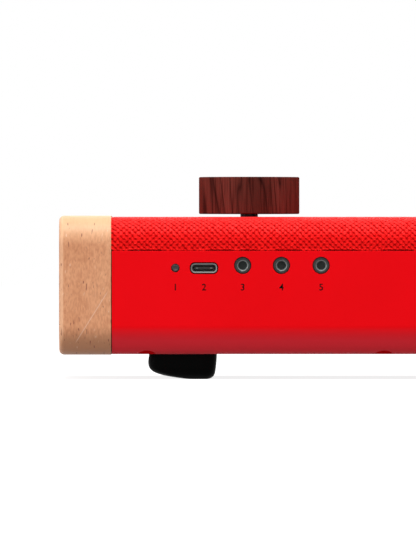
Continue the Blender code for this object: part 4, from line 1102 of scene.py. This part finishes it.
def finishKey(node, bm, plastic):
    # draws the open underside up into the key, leaving its side walls, and clears the pivot rail
    low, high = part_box(node)
    under = [f for f in bm.faces if f.normal.z < -0.9 and near(f.calc_center_median().z, low.z)]
    bmesh.ops.inset_region(bm, faces=under, thickness=key["wall"], use_even_offset=True)
    pushFaces(bm, under, (0, 0, whiteTop - key["skin"] - low.z))
    newPiece(node + "_cap", carve(bm, railRoom(low, high)), plastic, node, [node], flatFaces=True)


def whiteKey(node):
    low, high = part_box(node)
    left, right = tailSides(node)
    bm = addBox(bmesh.new(), low, (high.x, key["headEnd"], high.z))
    for side in (left, right):
        if not (near(side, low.x) or near(side, high.x)):
            splitAt(bm, (side, 0, 0), (1, 0, 0))
    back = [f for f in bm.faces if f.normal.y > 0.9]
    back = [f for f in back if left - mm / 10 < f.calc_center_median().x < right + mm / 10]
    pushFaces(bm, back, (0, high.y - key["headEnd"], 0))
    bmesh.ops.dissolve_limit(bm, angle_limit=radians(1), verts=bm.verts, edges=bm.edges)
    roundEdges(bm, edgesWhere(bm, lambda co: near(co.z, high.z) and near(co.y, low.y)), key["frontEdge"], 8)
    rim = edgesWhere(bm, lambda co: near(co.z, high.z))
    for skipped in (low.y + key["frontEdge"], high.y):
        rim = [e for e in rim if not all(near(v.co.y, skipped) for v in e.verts)]
    roundEdges(bm, rim, key["edge"], 3)
    finishKey(node, bm, whitePlastic)


def blackKey(node):
    low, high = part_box(node)
    bm = addBox(bmesh.new(), low, (high.x, high.y, whiteTop - key["blackFoot"]))
    splitAt(bm, (0, key["visibleEnd"], 0), (0, 1, 0))
    raised = [f for f in bm.faces if f.normal.z > 0.9 and f.calc_center_median().y < key["visibleEnd"]]
    pushed = bmesh.ops.extrude_face_region(bm, geom=raised)["geom"]
    bmesh.ops.delete(bm, geom=raised, context="FACES")
    middle = (low.x + high.x) / 2
    for vert in [v for v in pushed if isinstance(v, bmesh.types.BMVert)]:
        vert.co.z = blackTop
        vert.co.x = middle + (vert.co.x - middle) * key["blackTop"] / (high.x - low.x)
        if near(vert.co.y, low.y):
            vert.co.y += key["blackSlope"]
    rim = [e for e in bm.edges if max(v.co.z for v in e.verts) > blackTop - mm / 10]
    roundEdges(bm, rim, key["blackEdge"], 5)
    finishKey(node, bm, blackPlastic)


for keyNode in whiteKeys:
    whiteKey(keyNode)
for keyNode in blackKeys:
    blackKey(keyNode)
print("keys done:", len(whiteKeys), "white and", len(blackKeys), "black")

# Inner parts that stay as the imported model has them
for nodeName, finish in {
    "top_deck": deckAbs,
    "key_frame": frameAbs,
    "contact_board": circuitBoard,
    "main_board": circuitBoard,
    "battery": batteryWrap,
    "speaker_left": speakerSteel,
    "speaker_right": speakerSteel,
    "rotary_encoder": zinc,
}.items():
    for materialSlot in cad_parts[nodeName].material_slots:
        materialSlot.material = finish
print("inner parts dressed")

# Studio: a pale floor, a white surround and soft lamps
studio = {
    "floorSize": 60,
    "floorDark": "9e9e9e",
    "floorPale": 0.4,
    "floorGlow": 0.85,
    "surround": 0.4,
    # name, place, aim, width and height in metres, and power in watts
    "lamps": [
        ("overhead_softbox", (0.05, 0.85, 2.1), (0.05, 0.08, 0.04), (1.1, 0.7), 40.5),
        ("rear_softbox", (0.9, 2.7, 1.3), (0.1, 0.1, 0.03), (2.4, 1.6), 11.3),
        ("front_softbox", (-0.8, -2.4, 1.1), (0, 0, 0.03), (2.8, 1.9), 20),
        ("side_strip", (2.3, 0.62, 0.35), (0.25, 0.08, 0.05), (0.22, 1.2), 17),
    ],
}


def seenShare(tree):
    # 1 for what is seen straight, mirrored or through glass, and 0 for the light that falls on the object
    rays = addNode(tree, "LightPath").node.outputs
    seen = rays["Is Camera Ray"]
    for kind in ("Is Glossy Ray", "Is Transmission Ray"):
        seen = addNode(tree, "Math", {"operation": "MAXIMUM"}, {0: seen, 1: rays[kind]})
    return seen


def floorFinish():
    # painted board: shown white, but it throws little light back up, as a floor in a large dim room does
    material = bpy.data.materials.new("pale_floor")
    material.use_nodes = True
    tree = material.node_tree
    tree.nodes.remove(tree.nodes["Principled BSDF"])
    dim = addNode(tree, "BsdfDiffuse", inputs={"Color": toLinear(studio["floorDark"])})
    pale = addNode(tree, "BsdfDiffuse", inputs={"Color": [studio["floorPale"]] * 3 + [1]})
    glow = addNode(tree, "Emission", inputs={"Strength": studio["floorGlow"]})
    pale = addNode(tree, "AddShader", inputs={0: pale, 1: glow})
    mixed = addNode(tree, "MixShader", inputs={0: seenShare(tree), 1: dim, 2: pale})
    tree.links.new(mixed, tree.nodes["Material Output"].inputs["Surface"])
    return material


def studioFloor():
    bm = bmesh.new()
    bmesh.ops.create_grid(bm, x_segments=1, y_segments=1, size=studio["floorSize"])
    floor = addObject("floor", toMesh("floor", bm))
    floor.data.materials.append(floorFinish())


def surround():
    world = bpy.data.worlds.new("surround")
    bpy.context.scene.world = world
    world.use_nodes = True
    tree = world.node_tree
    strength = addNode(tree, "MapRange", inputs={0: seenShare(tree), 3: studio["surround"]})
    tree.nodes["Background"].inputs["Color"].default_value = (1, 1, 1, 1)
    tree.links.new(strength, tree.nodes["Background"].inputs["Strength"])


def softLamp(name, place, aim, size, power):
    data = bpy.data.lights.new(name, "AREA")
    data.shape = "RECTANGLE"
    data.size, data.size_y = size
    data.energy = power
    lamp = addObject(name, data)
    lamp.location = place
    lamp.rotation_mode = "QUATERNION"
    lamp.rotation_quaternion = (Vector(aim) - Vector(place)).to_track_quat("-Z", "Y")
    lamp.visible_camera = False


studioFloor()
surround()
for lampValues in studio["lamps"]:
    softLamp(*lampValues)
print("studio done")

bpy.context.scene.view_settings.view_transform = "Standard"
